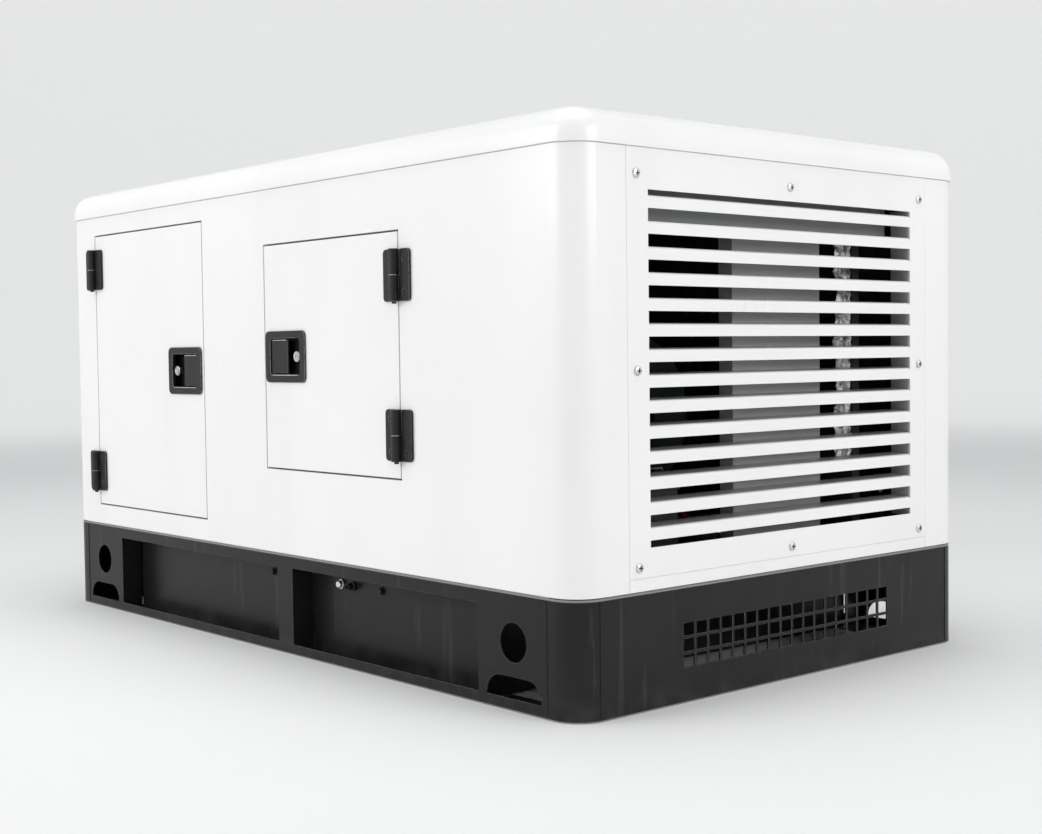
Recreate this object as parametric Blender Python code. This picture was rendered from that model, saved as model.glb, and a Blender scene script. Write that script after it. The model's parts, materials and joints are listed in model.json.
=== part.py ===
"""Enclosed standby generator set: a steel base with its fuel tank, a sheet canopy with two
hinged service doors and louvred ends, and the engine, alternator and controls inside it.

Metres, +Z up. X runs along the set, the air inlet at +X and the discharge at -X.
The service doors are on the -Y side. The origin is under the middle of the base."""

import math

import bmesh
import bpy
from mathutils import Matrix, Vector

# Whole set
LENGTH = 1.695
WIDTH = 1.0
BASE_HEIGHT = 0.187
WALL_HEIGHT = 0.6835
LID_HEIGHT = 0.057
CORNER_RADIUS = 0.052
SHEET = 0.0025
GAP = 0.0003

# Base frame and tank
BASE_SHEET = 0.003
TOP_FLANGE = 0.055
BOTTOM_FLANGE = 0.07
STRAP_WIDTH = 0.1
WINDOW_DEPTH = 0.045
WINDOW_BOTTOM = 0.0195
WINDOW_TOP = 0.1625
WINDOW_END = 0.6165
POST_LEFT = 0.023
POST_RIGHT = 0.072
LIFT_X = 0.702
LIFT_HOLE_RADIUS = 0.0315
LIFT_HOLE_Z = 0.1082
SLOT_LENGTH = 0.132
SLOT_BOTTOM = 0.0195
SLOT_HEIGHT = 0.0345
MESH_COLUMNS = 18
MESH_ROWS = 3
MESH_PITCH_Y = 0.0301
MESH_PITCH_Z = 0.0253
MESH_HOLE_Y = 0.0255
MESH_HOLE_Z = 0.0205
MESH_Z = 0.0923
TANK_HEIGHT = 0.161
TANK_SHEET = 0.003
DRAIN_X = 0.169
DRAIN_Z = 0.139
DRAIN_RADIUS = 0.009
NECK_X = -0.30
NECK_INSET = 0.095
NECK_RADIUS = 0.025
NECK_TOP = 0.30

# Canopy walls and roof
FLANGE = 0.025
SHADOW_GAP = 0.0015
LID_OVERHANG = 0.004
LID_EDGE_RADIUS = 0.045
LID_HEM = 0.012
LID_SHEET = 0.003
FOAM = 0.025

# Louvre panels
PANEL_WIDTH = 0.7754
SILL_TOP = 0.2083
OPENING_WIDTH = 0.682
OPENING_BOTTOM = 0.2546
OPENING_TOP = 0.8068
OPENING_CLEARANCE = 0.0015
SLATS = 14
SLAT_PITCH = 0.03945
LOWEST_LIP = 0.2657
SLAT_RISE = 0.0205
SLAT_BEND = 0.006
SLAT_DEPTH = 0.04
SLAT_SHEET = 0.0018
SLAT_TILT = 0.002
JAMB_DEPTH = 0.042
FRAME_PLATE = 0.005
FRAME_BORDER = 0.0425
BAFFLE_DEPTH = 0.03
BAFFLE_CLEARANCE = 0.0055
BAFFLE_SHEET = 0.002
BAFFLE_POST = (-0.094, 0.138)
BAFFLE_BAR = (0.33, 0.765)
BAFFLE_TOP_GAP = 0.02

# Doors: hinge edge x, free edge x, bottom and top
LEFT_DOOR = (-0.7135, -0.2415, 0.2333, 0.8275)
RIGHT_DOOR = (0.4160, -0.0060, 0.3485, 0.7650)
DOOR_GAP = 0.003
DOOR_DEPTH = 0.022
DOOR_REST = 0.004
DOOR_FRAME_LIP = 0.015

# Surface hinges
HINGE_HEIGHT = 0.088
LEAF_WIDTH = 0.0365
LEAF_SHEET = 0.0045
LEAF_CORNER = 0.007
KNUCKLE_RADIUS = 0.009
HINGE_PIN_RADIUS = 0.004
PIN_RUNNING = 0.0002
PIN_BELOW = 0.004
PIN_SHORT = 0.012
HINGE_SCREW_RADIUS = 0.0055
HINGE_SCREW_SINK = 0.0012
HINGE_SCREW_END = 0.016
HINGE_SCREW_PLACE = 0.6
HINGE_INSET = 0.0735

# Paddle latches
LATCH_INSET = 0.072
LATCH_FLANGE = (0.134, 0.096)
LATCH_CORNER = 0.011
LATCH_RECESS = (0.100, 0.068)
RECESS_CORNER = 0.006
LATCH_PROUD = 0.0035
RECESS_DEPTH = 0.0145
TRAY_WALL = 0.003
PADDLE = (0.055, 0.062, 0.004)
PADDLE_SINK = 0.003
KEY_RADIUS = 0.0075
KEY_INSET = 0.015

# Running gear
SHAFT_Z = 0.44
ENGINE_FRONT = -0.50
ENGINE_BACK = 0.0
BLOCK_HALF_WIDTH = 0.14
BLOCK_BOTTOM = 0.30
BLOCK_TOP = 0.56
SUMP_BOTTOM = 0.225
SUMP_HALF_WIDTH = 0.10
HEAD_TOP = 0.66
COVER_TOP = 0.71
COVER_HALF_WIDTH = 0.1
FILTER_BOSS = (-0.16, -0.08, 0.43)
FILTER_REACH = 0.045
FILTER_RADIUS = 0.038
FILTER_LENGTH = 0.1
STARTER_PLACE = (0.185, 0.38)
STARTER_RADIUS = 0.042
STARTER_LENGTH = 0.2
AIR_CLEANER_PLACE = (-0.25, 0.66)
AIR_CLEANER_ENDS = (-0.43, -0.18)
AIR_CLEANER_RADIUS = 0.07
MOUNT_Y = 0.20
MOUNT_RADIUS = 0.03
MOUNT_HEIGHT = 0.04
ENGINE_MOUNT_X = -0.42
ALTERNATOR_MOUNT_X = 0.30
BEARER_WIDTH = 0.08
BEARER_HEIGHT = 0.03
BEARER_INSET = 0.032
FOOT_HEIGHT = 0.012
HOUSING_LENGTH = 0.09
HOUSING_RADIUS = 0.19
ALTERNATOR_LENGTH = 0.39
ALTERNATOR_RADIUS = 0.16
FAN_Z = 0.47
CRANK_Z = 0.35
FAN_RADIUS = 0.205
FAN_BLADES = 6
SHROUD_RADIUS = 0.222
RADIATOR_DEPTH = 0.06
RADIATOR_HALF_WIDTH = 0.27
RADIATOR_TOP = 0.70
RADIATOR_TO_ENGINE = 0.14
CORE_HALF_WIDTH = 0.25
CORE_BOTTOM = 0.24
CORE_TOP = 0.65
CORE_RECESS = 0.012
RADIATOR_CAP_Y = -0.15
SHROUD_SHEET = 0.003
SHROUD_DEPTH = 0.075
BLADE_TWIST = 62
BLADE_HALF_CHORD = 0.045
BLADE_ROOT = 0.03
BOSS_LENGTH = 0.02
FAN_PULLEY_RADIUS = 0.05
CRANK_PULLEY_RADIUS = 0.065
PULLEY_WIDTH = 0.015
BELT_THICKNESS = 0.005
MUFFLER_RADIUS = 0.06
MUFFLER_Y = 0.18
MUFFLER_Z = 0.79
MUFFLER_ENDS = (-0.46, -0.06)
TAIL_RADIUS = 0.022
MANIFOLD_ENDS = (-0.42, -0.10)
MANIFOLD_LEVELS = (0.595, 0.645)
MANIFOLD_DEPTH = 0.065
RISER_X = -0.26
BATTERY_SIZE = (0.15, 0.22)
BATTERY_TOP = 0.36
BATTERY_INSET = 0.08
BATTERY_POSTS = (0.035, 0.185)

# Controls
CABINET_X = (0.03, 0.39)
CABINET_Z = (0.40, 0.73)
CABINET_INSET = 0.07
CABINET_DEPTH = 0.13
CABINET_SHEET = 0.002
LEG = 0.02
BREAKER_X = (0.05, 0.11)
BREAKER_Z = (0.03, 0.12)
BREAKER_PROUD = 0.012
LEVER_RADIUS = 0.005
STOP_BUTTON = (0.06, 0.07)
KEY_SWITCH = (0.14, 0.07)

DECK = BASE_HEIGHT + GAP
WALL_TOP = BASE_HEIGHT + WALL_HEIGHT
FRONT = -WIDTH / 2
TANK_HALF_LENGTH = WINDOW_END - 0.006
TANK_FRONT = FRONT + WINDOW_DEPTH + GAP
TANK_BOTTOM = BASE_SHEET + GAP
TANK_TOP = TANK_BOTTOM + TANK_HEIGHT
BEARER_TOP = DECK + BEARER_HEIGHT
FOOT_BOTTOM = BEARER_TOP + MOUNT_HEIGHT + 2 * GAP
RADIATOR_BACK = ENGINE_FRONT - RADIATOR_TO_ENGINE


for stale in list(bpy.data.objects):
    bpy.data.objects.remove(stale)


def finish(name, colour, roughness, metallic=0.0):
    made = bpy.data.materials.new(name)
    made.use_nodes = True
    shader = made.node_tree.nodes["Principled BSDF"]
    shader.inputs["Base Color"].default_value = (*colour, 1.0)
    shader.inputs["Roughness"].default_value = roughness
    shader.inputs["Metallic"].default_value = metallic
    made.diffuse_color = (*colour, 1.0)
    return made


WHITE_PAINT = finish("white_powder_coat", (0.86, 0.87, 0.87), 0.25)
BLACK_PAINT = finish("black_powder_coat", (0.018, 0.018, 0.020), 0.35)
GREY_PAINT = finish("grey_paint", (0.28, 0.29, 0.30), 0.45)
ENGINE_PAINT = finish("engine_grey", (0.10, 0.13, 0.15), 0.5)
CAST_IRON = finish("cast_iron", (0.16, 0.16, 0.16), 0.6, 0.6)
HARDWARE = finish("black_hardware", (0.02, 0.02, 0.021), 0.55)
ZINC = finish("zinc_plate", (0.72, 0.72, 0.70), 0.3, 1.0)
ALUMINIUM = finish("aluminium", (0.55, 0.56, 0.57), 0.4, 1.0)
RUBBER = finish("rubber", (0.02, 0.02, 0.02), 0.8)
ACOUSTIC_FOAM = finish("acoustic_foam", (0.035, 0.035, 0.037), 0.95)
BLACK_PLASTIC = finish("black_plastic", (0.03, 0.03, 0.03), 0.5)
RED_PLASTIC = finish("red_plastic", (0.6, 0.02, 0.02), 0.35)
EXHAUST_STEEL = finish("exhaust_steel", (0.35, 0.33, 0.31), 0.5, 1.0)


def add_object(name, mesh, surface=None, pivot=(0.0, 0.0, 0.0)):
    """Link a bmesh as an object whose origin is at pivot."""
    bmesh.ops.recalc_face_normals(mesh, faces=mesh.faces)
    bmesh.ops.translate(mesh, verts=mesh.verts, vec=-Vector(pivot))
    data = bpy.data.meshes.new(name)
    mesh.to_mesh(data)
    mesh.free()
    data.shade_smooth()
    data.set_sharp_from_angle(angle=math.radians(35))
    made = bpy.data.objects.new(name, data)
    made.location = pivot
    bpy.context.collection.objects.link(made)
    if surface:
        data.materials.append(surface)
    return made


def box(low, high):
    mesh = bmesh.new()
    bmesh.ops.create_cube(mesh, size=1.0)
    size = [b - a for a, b in zip(low, high)]
    centre = [(a + b) / 2 for a, b in zip(low, high)]
    bmesh.ops.scale(mesh, verts=mesh.verts, vec=size)
    bmesh.ops.translate(mesh, verts=mesh.verts, vec=centre)
    return mesh


def bevelled_box(low, high, width, segments=2):
    mesh = box(low, high)
    bmesh.ops.bevel(mesh, geom=mesh.edges[:], offset=width, segments=segments, profile=0.5,
                    affect="EDGES", material=-1)
    return mesh


def merged(*meshes):
    """Several closed meshes in one, for a tool that cuts or adds in many places."""
    whole = bmesh.new()
    for mesh in meshes:
        data = bpy.data.meshes.new("piece")
        mesh.to_mesh(data)
        mesh.free()
        whole.from_mesh(data)
        bpy.data.meshes.remove(data)
    return whole


def arc(centre, radius, start, end, steps):
    """Points on an arc in a plane, angles in degrees."""
    turns = [math.radians(start + (end - start) * i / steps) for i in range(steps + 1)]
    return [(centre[0] + radius * math.cos(t), centre[1] + radius * math.sin(t)) for t in turns]


def rounded_rectangle(length, width, radius, steps=6, centre=(0.0, 0.0)):
    """Corner arcs of a rounded rectangle, anticlockwise."""
    points = []
    for side_x, side_y, start in ((1, 1, 0), (-1, 1, 90), (-1, -1, 180), (1, -1, 270)):
        corner = (centre[0] + side_x * (length / 2 - radius), centre[1] + side_y * (width / 2 - radius))
        points += arc(corner, radius, start, start + 90, steps)
    return points


PLANES = {
    "x": lambda a, b, along: (along, a, b),
    "y": lambda a, b, along: (a, along, b),
    "z": lambda a, b, along: (a, b, along),
}


def prism(points, axis, start, end):
    """An outline in the plane across an axis, given depth along it."""
    mesh = bmesh.new()
    place = PLANES[axis]
    corners = [mesh.verts.new(place(a, b, start)) for a, b in points]
    face = mesh.faces.new(corners)
    grown = bmesh.ops.extrude_face_region(mesh, geom=[face])["geom"]
    far = [item for item in grown if isinstance(item, bmesh.types.BMVert)]
    bmesh.ops.translate(mesh, verts=far, vec=place(0.0, 0.0, end - start))
    return mesh


def stack(rings):
    """A closed solid through equal-length outlines, each a list of points and its height."""
    mesh = bmesh.new()
    loops = [[mesh.verts.new((x, y, z)) for x, y in points] for points, z in rings]
    for lower, upper in zip(loops, loops[1:]):
        for i in range(len(lower)):
            j = (i + 1) % len(lower)
            mesh.faces.new((lower[i], lower[j], upper[j], upper[i]))
    mesh.faces.new(reversed(loops[0]))
    mesh.faces.new(loops[-1])
    return mesh


TURNS = {
    "x": Matrix.Rotation(math.pi / 2, 4, "Y"),
    "y": Matrix.Rotation(-math.pi / 2, 4, "X"),
    "z": Matrix.Identity(4),
}


def rod(axis, centre, radius, start, end, segments=24, end_radius=None):
    """A round bar along an axis; centre holds its two other coordinates."""
    mesh = bmesh.new()
    bmesh.ops.create_cone(mesh, cap_ends=True, segments=segments, radius1=radius,
                          radius2=radius if end_radius is None else end_radius, depth=end - start)
    bmesh.ops.transform(mesh, matrix=TURNS[axis], verts=mesh.verts)
    middle = PLANES[axis](centre[0], centre[1], (start + end) / 2)
    bmesh.ops.translate(mesh, verts=mesh.verts, vec=middle)
    return mesh


def turned(axis, centre, profile, segments=24):
    """A solid of revolution. The profile lists radius and position, and ends on the axis."""
    mesh = bmesh.new()
    points = [mesh.verts.new((radius, 0.0, along)) for radius, along in profile]
    edges = [mesh.edges.new(pair) for pair in zip(points, points[1:])]
    bmesh.ops.spin(mesh, geom=points + edges, cent=(0, 0, 0), axis=(0, 0, 1),
                   angle=2 * math.pi, steps=segments, use_merge=True)
    bmesh.ops.remove_doubles(mesh, verts=mesh.verts, dist=1e-5)
    bmesh.ops.transform(mesh, matrix=TURNS[axis], verts=mesh.verts)
    bmesh.ops.translate(mesh, verts=mesh.verts, vec=PLANES[axis](centre[0], centre[1], 0.0))
    return mesh


def boolean(body, mesh, operation):
    tool = add_object(f"tool_{body.name}_{len(body.modifiers)}", mesh)
    tool.hide_render = True
    tool.display_type = "WIRE"
    step = body.modifiers.new(operation.lower(), "BOOLEAN")
    step.operation = operation
    step.object = tool


def cut(body, *meshes):
    for mesh in meshes:
        boolean(body, mesh, "DIFFERENCE")


def join(body, *meshes):
    for mesh in meshes:
        boolean(body, mesh, "UNION")


def mirrored_x(mesh):
    bmesh.ops.scale(mesh, verts=mesh.verts, vec=(-1, 1, 1))
    return mesh


# ---------------------------------------------------------------- base and fuel tank

def mesh_window():
    """The square holes punched through the inlet end of the base."""
    holes = []
    for column in range(MESH_COLUMNS):
        y = (column - (MESH_COLUMNS - 1) / 2) * MESH_PITCH_Y
        for row in range(MESH_ROWS):
            z = MESH_Z + (row - (MESH_ROWS - 1) / 2) * MESH_PITCH_Z
            low = (LENGTH / 2 - 0.02, y - MESH_HOLE_Y / 2, z - MESH_HOLE_Z / 2)
            high = (LENGTH / 2 + 0.02, y + MESH_HOLE_Y / 2, z + MESH_HOLE_Z / 2)
            holes.append(box(low, high))
    return merged(*holes)


def lifting_cuts(side):
    """Round lifting holes and the flat-bottomed lever slots under them, in one side wall."""
    cuts = []
    shoulder = SLOT_HEIGHT * 0.95
    span = SLOT_LENGTH / 2
    for x in (-LIFT_X, LIFT_X):
        start, end = sorted((side * (WIDTH / 2 - 0.02), side * (WIDTH / 2 + 0.02)))
        cuts.append(rod("y", (x, LIFT_HOLE_Z), LIFT_HOLE_RADIUS, start, end, 32))
        top = SLOT_BOTTOM + SLOT_HEIGHT
        outline = [(x - span, SLOT_BOTTOM), (x + span, SLOT_BOTTOM)]
        outline += arc((x + span - shoulder, top - shoulder), shoulder, 0, 90, 6)
        outline += arc((x - span + shoulder, top - shoulder), shoulder, 90, 180, 6)
        cuts.append(prism(outline, "y", start, end))
    return merged(*cuts)


def side_windows(side):
    start, end = sorted((side * (WIDTH / 2 - 0.02), side * (WIDTH / 2 + 0.02)))
    return merged(box((-WINDOW_END, start, WINDOW_BOTTOM), (POST_LEFT, end, WINDOW_TOP)),
                  box((POST_RIGHT, start, WINDOW_BOTTOM), (WINDOW_END, end, WINDOW_TOP)))


def window_jambs(side):
    """Folded returns that stiffen the upright edges of the windows."""
    plates = []
    inner = side * (WIDTH / 2 - WINDOW_DEPTH)
    outer = side * (WIDTH / 2 - BASE_SHEET / 2)
    start, end = sorted((inner, outer))
    for x, toward in ((-WINDOW_END, -1), (POST_LEFT, 1), (POST_RIGHT, -1), (WINDOW_END, 1)):
        left, right = sorted((x, x + toward * BASE_SHEET))
        plates.append(box((left, start, BASE_SHEET / 2), (right, end, BASE_HEIGHT - BASE_SHEET / 2)))
    return merged(*plates)


def build_base_frame():
    outline = rounded_rectangle(LENGTH, WIDTH, CORNER_RADIUS, 8)
    inner = rounded_rectangle(LENGTH - 2 * BASE_SHEET, WIDTH - 2 * BASE_SHEET, CORNER_RADIUS - BASE_SHEET, 8)
    frame = add_object("base_frame", prism(outline, "z", 0.0, BASE_HEIGHT), BLACK_PAINT)
    cut(frame, prism(inner, "z", BASE_SHEET, BASE_HEIGHT - BASE_SHEET))
    deck_end = TANK_HALF_LENGTH + 0.01
    top_half_width = WIDTH / 2 - TOP_FLANGE
    deck_opening = box((-deck_end, -top_half_width, BASE_HEIGHT / 2),
                       (deck_end, top_half_width, BASE_HEIGHT + 0.01))
    cut(frame, deck_opening)
    bottom_half_width = WIDTH / 2 - BOTTOM_FLANGE
    bottom_end = LENGTH / 2 - BOTTOM_FLANGE
    holes = [box((start, -bottom_half_width, -0.01), (end, bottom_half_width, BASE_HEIGHT / 2))
             for start, end in ((-bottom_end, -STRAP_WIDTH / 2), (STRAP_WIDTH / 2, bottom_end))]
    cut(frame, merged(*holes))
    for side in (-1, 1):
        join(frame, window_jambs(side))
        cut(frame, side_windows(side), lifting_cuts(side))
    cut(frame, mesh_window())


def build_fuel_tank():
    low = Vector((-TANK_HALF_LENGTH, TANK_FRONT, TANK_BOTTOM))
    high = Vector((TANK_HALF_LENGTH, -TANK_FRONT, TANK_TOP))
    wall = Vector((TANK_SHEET, TANK_SHEET, TANK_SHEET))
    tank = add_object("fuel_tank", box(low, high), BLACK_PAINT)
    cut(tank, box(low + wall, high - wall))
    neck_y = TANK_FRONT + NECK_INSET
    cut(tank, rod("z", (NECK_X, neck_y), NECK_RADIUS - 0.004, TANK_TOP - 0.02, TANK_TOP + 0.02))
    drain_front = TANK_FRONT - GAP
    drain = turned("y", (DRAIN_X, DRAIN_Z), [
        (0.0, drain_front), (DRAIN_RADIUS, drain_front), (DRAIN_RADIUS, drain_front - 0.003),
        (DRAIN_RADIUS * 0.8, drain_front - 0.003), (DRAIN_RADIUS * 0.8, drain_front - 0.008),
        (DRAIN_RADIUS * 0.6, drain_front - 0.01), (0.0, drain_front - 0.01)], 12)
    add_object("tank_drain_plug", drain, ZINC)
    neck = turned("z", (NECK_X, neck_y), [
        (NECK_RADIUS - 0.003, TANK_TOP + GAP), (NECK_RADIUS + 0.018, TANK_TOP + GAP),
        (NECK_RADIUS + 0.018, TANK_TOP + 0.004), (NECK_RADIUS, TANK_TOP + 0.006), (NECK_RADIUS, NECK_TOP),
        (NECK_RADIUS - 0.003, NECK_TOP), (NECK_RADIUS - 0.003, TANK_TOP + GAP)])
    add_object("fuel_filler_neck", neck, BLACK_PAINT)
    skirt_inner = NECK_RADIUS + 0.0006
    skirt_outer = skirt_inner + 0.006
    top = NECK_TOP + 0.018
    cap = turned("z", (NECK_X, neck_y), [
        (0.0, NECK_TOP + GAP), (skirt_inner, NECK_TOP + GAP), (skirt_inner, NECK_TOP - 0.015),
        (skirt_outer, NECK_TOP - 0.015), (skirt_outer, top - 0.004), (skirt_outer - 0.004, top), (0.0, top)])
    cap_top = add_object("fuel_filler_cap", cap, BLACK_PLASTIC, (NECK_X, neck_y, NECK_TOP))
    join(cap_top, bevelled_box((NECK_X - 0.024, neck_y - 0.005, top - 0.003),
                               (NECK_X + 0.024, neck_y + 0.005, top + 0.010), 0.002, 1))


def build_bearers():
    """Inverted channels across the base that carry the engine and the alternator."""
    half_span = WIDTH / 2 - BEARER_INSET
    for name, x in (("engine_bearer", ENGINE_MOUNT_X), ("alternator_bearer", ALTERNATOR_MOUNT_X)):
        low = (x - BEARER_WIDTH / 2, -half_span, DECK)
        high = (x + BEARER_WIDTH / 2, half_span, BEARER_TOP)
        bearer = add_object(name, box(low, high), BLACK_PAINT)
        cut(bearer, box((low[0] + 0.005, -half_span - 0.01, DECK - 0.01),
                        (high[0] - 0.005, half_span + 0.01, BEARER_TOP - 0.005)))


# ---------------------------------------------------------------- canopy

def side_wall_outline():
    """Plan of one side wall: a C that turns both corners and ends at the louvre panels."""
    outer = [(LENGTH / 2, -PANEL_WIDTH / 2 - GAP)]
    outer += arc((LENGTH / 2 - CORNER_RADIUS, FRONT + CORNER_RADIUS), CORNER_RADIUS, 0, -90, 8)
    inner_radius = CORNER_RADIUS - SHEET
    inner = [(LENGTH / 2 - SHEET, -PANEL_WIDTH / 2 - GAP)]
    inner += arc((LENGTH / 2 - CORNER_RADIUS, FRONT + CORNER_RADIUS), inner_radius, 0, -90, 8)
    outside = outer + [(-x, y) for x, y in reversed(outer)]
    inside = inner + [(-x, y) for x, y in reversed(inner)]
    return outside + inside[::-1]


def door_limits(door):
    hinge_x, free_x, bottom, top = door
    return min(hinge_x, free_x), max(hinge_x, free_x), bottom, top


def cut_door_opening(wall, door):
    """A rebated frame round one door: a box frame, a pocket for the door and a clear way in."""
    left, right, bottom, top = door_limits(door)
    pocket = FRONT + DOOR_DEPTH + DOOR_REST
    rim = DOOR_GAP + SHEET
    join(wall, box((left - rim, FRONT + SHEET / 2, bottom - rim), (right + rim, pocket + SHEET, top + rim)))
    cut(wall, box((left - DOOR_GAP, FRONT - 0.01, bottom - DOOR_GAP),
                  (right + DOOR_GAP, pocket, top + DOOR_GAP)))
    lip = DOOR_FRAME_LIP - DOOR_GAP
    cut(wall, box((left + lip, FRONT - 0.01, bottom + lip), (right - lip, pocket + 0.02, top - lip)))


def wall_flanges():
    reach = LENGTH / 2 - CORNER_RADIUS - 0.01
    inner = FRONT + FLANGE
    outer = FRONT + SHEET / 2
    return merged(box((-reach, outer, DECK), (reach, inner, DECK + SHEET)),
                  box((-reach, outer, WALL_TOP - GAP - SHEET), (reach, inner, WALL_TOP - GAP)))


def build_walls():
    bottom = BASE_HEIGHT + SHADOW_GAP
    front_mesh = prism(side_wall_outline(), "z", bottom, WALL_TOP - GAP)
    front = add_object("canopy_front_side", front_mesh, WHITE_PAINT)
    join(front, wall_flanges())
    cut_door_opening(front, LEFT_DOOR)
    cut_door_opening(front, RIGHT_DOOR)
    rear_mesh = prism(side_wall_outline(), "z", bottom, WALL_TOP - GAP)
    flanges = wall_flanges()
    for mesh in (rear_mesh, flanges):
        bmesh.ops.rotate(mesh, verts=mesh.verts, cent=(0, 0, 0), matrix=Matrix.Rotation(math.pi, 3, "Z"))
    rear = add_object("canopy_rear_side", rear_mesh, WHITE_PAINT)
    join(rear, flanges)
    inside = WIDTH / 2 - SHEET - GAP
    reach = LENGTH / 2 - CORNER_RADIUS - 0.015
    foam = box((-reach, inside - FOAM, DECK + SHEET + GAP), (reach, inside, WALL_TOP - SHEET - 2 * GAP))
    add_object("rear_wall_foam", foam, ACOUSTIC_FOAM)


def slat_outline(lip):
    """Section of one louvre blade: an upright front face bent back over a shallow shelf."""
    face = LENGTH / 2
    top = lip + SLAT_RISE
    bend = (face - SLAT_BEND, top - SLAT_BEND)
    outer = [(face, lip)] + arc(bend, SLAT_BEND, 0, 90, 4) + [(face - SLAT_DEPTH, top + SLAT_TILT)]
    inner = [(face - SLAT_SHEET, lip)] + arc(bend, SLAT_BEND - SLAT_SHEET, 0, 90, 4)
    inner += [(face - SLAT_DEPTH, top + SLAT_TILT - SLAT_SHEET)]
    return outer + inner[::-1]


def louvre_meshes():
    """Face sheet, the tools that open it, its folded jambs and the row of blades."""
    face = LENGTH / 2
    half = OPENING_WIDTH / 2
    sheet = box((face - SHEET, -PANEL_WIDTH / 2, SILL_TOP + GAP), (face, PANEL_WIDTH / 2, WALL_TOP - GAP))
    opening = box((face - 0.1, -half, OPENING_BOTTOM), (face + 0.1, half, OPENING_TOP))
    low, high = OPENING_BOTTOM - SHEET, OPENING_TOP + SHEET
    jambs = [box((face - JAMB_DEPTH, y, low), (face - SHEET / 2, y + SHEET, high))
             for y in (-half - SHEET, half)]
    blades = []
    for i in range(SLATS):
        lip = LOWEST_LIP + i * SLAT_PITCH
        blade = prism([(z, x) for x, z in slat_outline(lip)], "y", -half - SHEET / 2, half + SHEET / 2)
        bmesh.ops.transform(blade, matrix=Matrix(((0, 0, 1, 0), (0, 1, 0, 0), (1, 0, 0, 0), (0, 0, 0, 1))),
                            verts=blade.verts)
        blades.append(blade)
    return sheet, opening, merged(*jambs), merged(*blades)


def build_ends():
    for name, mirror in (("inlet", False), ("outlet", True)):
        flip = mirrored_x if mirror else (lambda mesh: mesh)
        sheet, opening, jambs, blades = louvre_meshes()
        panel = add_object(f"{name}_louvre_panel", flip(sheet), WHITE_PAINT)
        cut(panel, flip(opening))
        join(panel, flip(jambs), flip(blades))
        back = LENGTH / 2 - SHEET - GAP
        border = PANEL_WIDTH / 2 + FRAME_BORDER
        plate = box((back - FRAME_PLATE, -border, DECK), (back, border, WALL_TOP - GAP))
        frame = add_object(f"{name}_end_frame", flip(plate), WHITE_PAINT)
        clear = OPENING_WIDTH / 2 + SHEET + OPENING_CLEARANCE
        opening = box((back - 0.05, -clear, OPENING_BOTTOM - 0.005),
                      (back + 0.05, clear, OPENING_TOP + 0.005))
        cut(frame, flip(opening))
        sill_end = PANEL_WIDTH / 2 - GAP
        sill = box((back - FRAME_PLATE / 2, -sill_end, BASE_HEIGHT + SHADOW_GAP),
                   (LENGTH / 2, sill_end, SILL_TOP))
        join(frame, flip(sill))


def build_inlet_baffle():
    """A folded sheet that stands on the deck behind the inlet blades and hangs across their top."""
    face = LENGTH / 2 - JAMB_DEPTH - BAFFLE_CLEARANCE
    back = face - BAFFLE_DEPTH
    left, right = BAFFLE_POST
    reach, low = BAFFLE_BAR
    top = WALL_TOP - BAFFLE_TOP_GAP
    wall = BAFFLE_SHEET
    baffle = add_object("inlet_baffle", box((back, left, DECK), (face, right, top)), GREY_PAINT)
    join(baffle, box((back, -reach, low), (face, reach, top)))
    cut(baffle, box((back - 0.01, left + wall, DECK - 0.01), (face - wall, right - wall, top - 0.01)))
    cut(baffle, box((back - 0.01, wall - reach, low + wall), (face - wall, reach - wall, top - wall)))


def lid_rings(inset, bottom, top):
    """Outlines up the lid at a distance inside its skin, round over the top edge."""
    length = LENGTH + 2 * LID_OVERHANG
    width = WIDTH + 2 * LID_OVERHANG
    edge = LID_EDGE_RADIUS - inset
    rings = [(inset, bottom)]
    rings += [(inset + edge * (1 - math.cos(t)), top - edge + edge * math.sin(t))
              for t in (math.radians(90 * i / 7) for i in range(8))]
    outlines = []
    for step, z in rings:
        radius = max(CORNER_RADIUS + LID_OVERHANG - step, 0.012)
        outlines.append((rounded_rectangle(length - 2 * step, width - 2 * step, radius, 7), z))
    return outlines


def build_lid():
    top = WALL_TOP + LID_HEIGHT
    lid = add_object("roof_lid", stack(lid_rings(0.0, WALL_TOP, top)), WHITE_PAINT)
    cut(lid, stack(lid_rings(LID_SHEET, WALL_TOP + LID_SHEET, top - LID_SHEET)))
    hem_length = LENGTH + 2 * LID_OVERHANG - 2 * LID_HEM
    hem_width = WIDTH + 2 * LID_OVERHANG - 2 * LID_HEM
    hem = rounded_rectangle(hem_length, hem_width, CORNER_RADIUS - LID_HEM + LID_OVERHANG, 7)
    cut(lid, prism(hem, "z", WALL_TOP - 0.01, WALL_TOP + 0.009))
    foam_top = top - LID_SHEET - GAP
    inset = LID_EDGE_RADIUS + 0.01
    reach = LENGTH / 2 - inset
    foam = box((-reach, FRONT + inset, foam_top - FOAM), (reach, -FRONT - inset, foam_top))
    add_object("roof_foam", foam, ACOUSTIC_FOAM)


# ---------------------------------------------------------------- doors, hinges, latches

def latch_centre(door):
    hinge_x, free_x, bottom, top = door
    inward = math.copysign(1, hinge_x - free_x)
    return free_x + inward * LATCH_INSET, (bottom + top) / 2, inward


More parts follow.
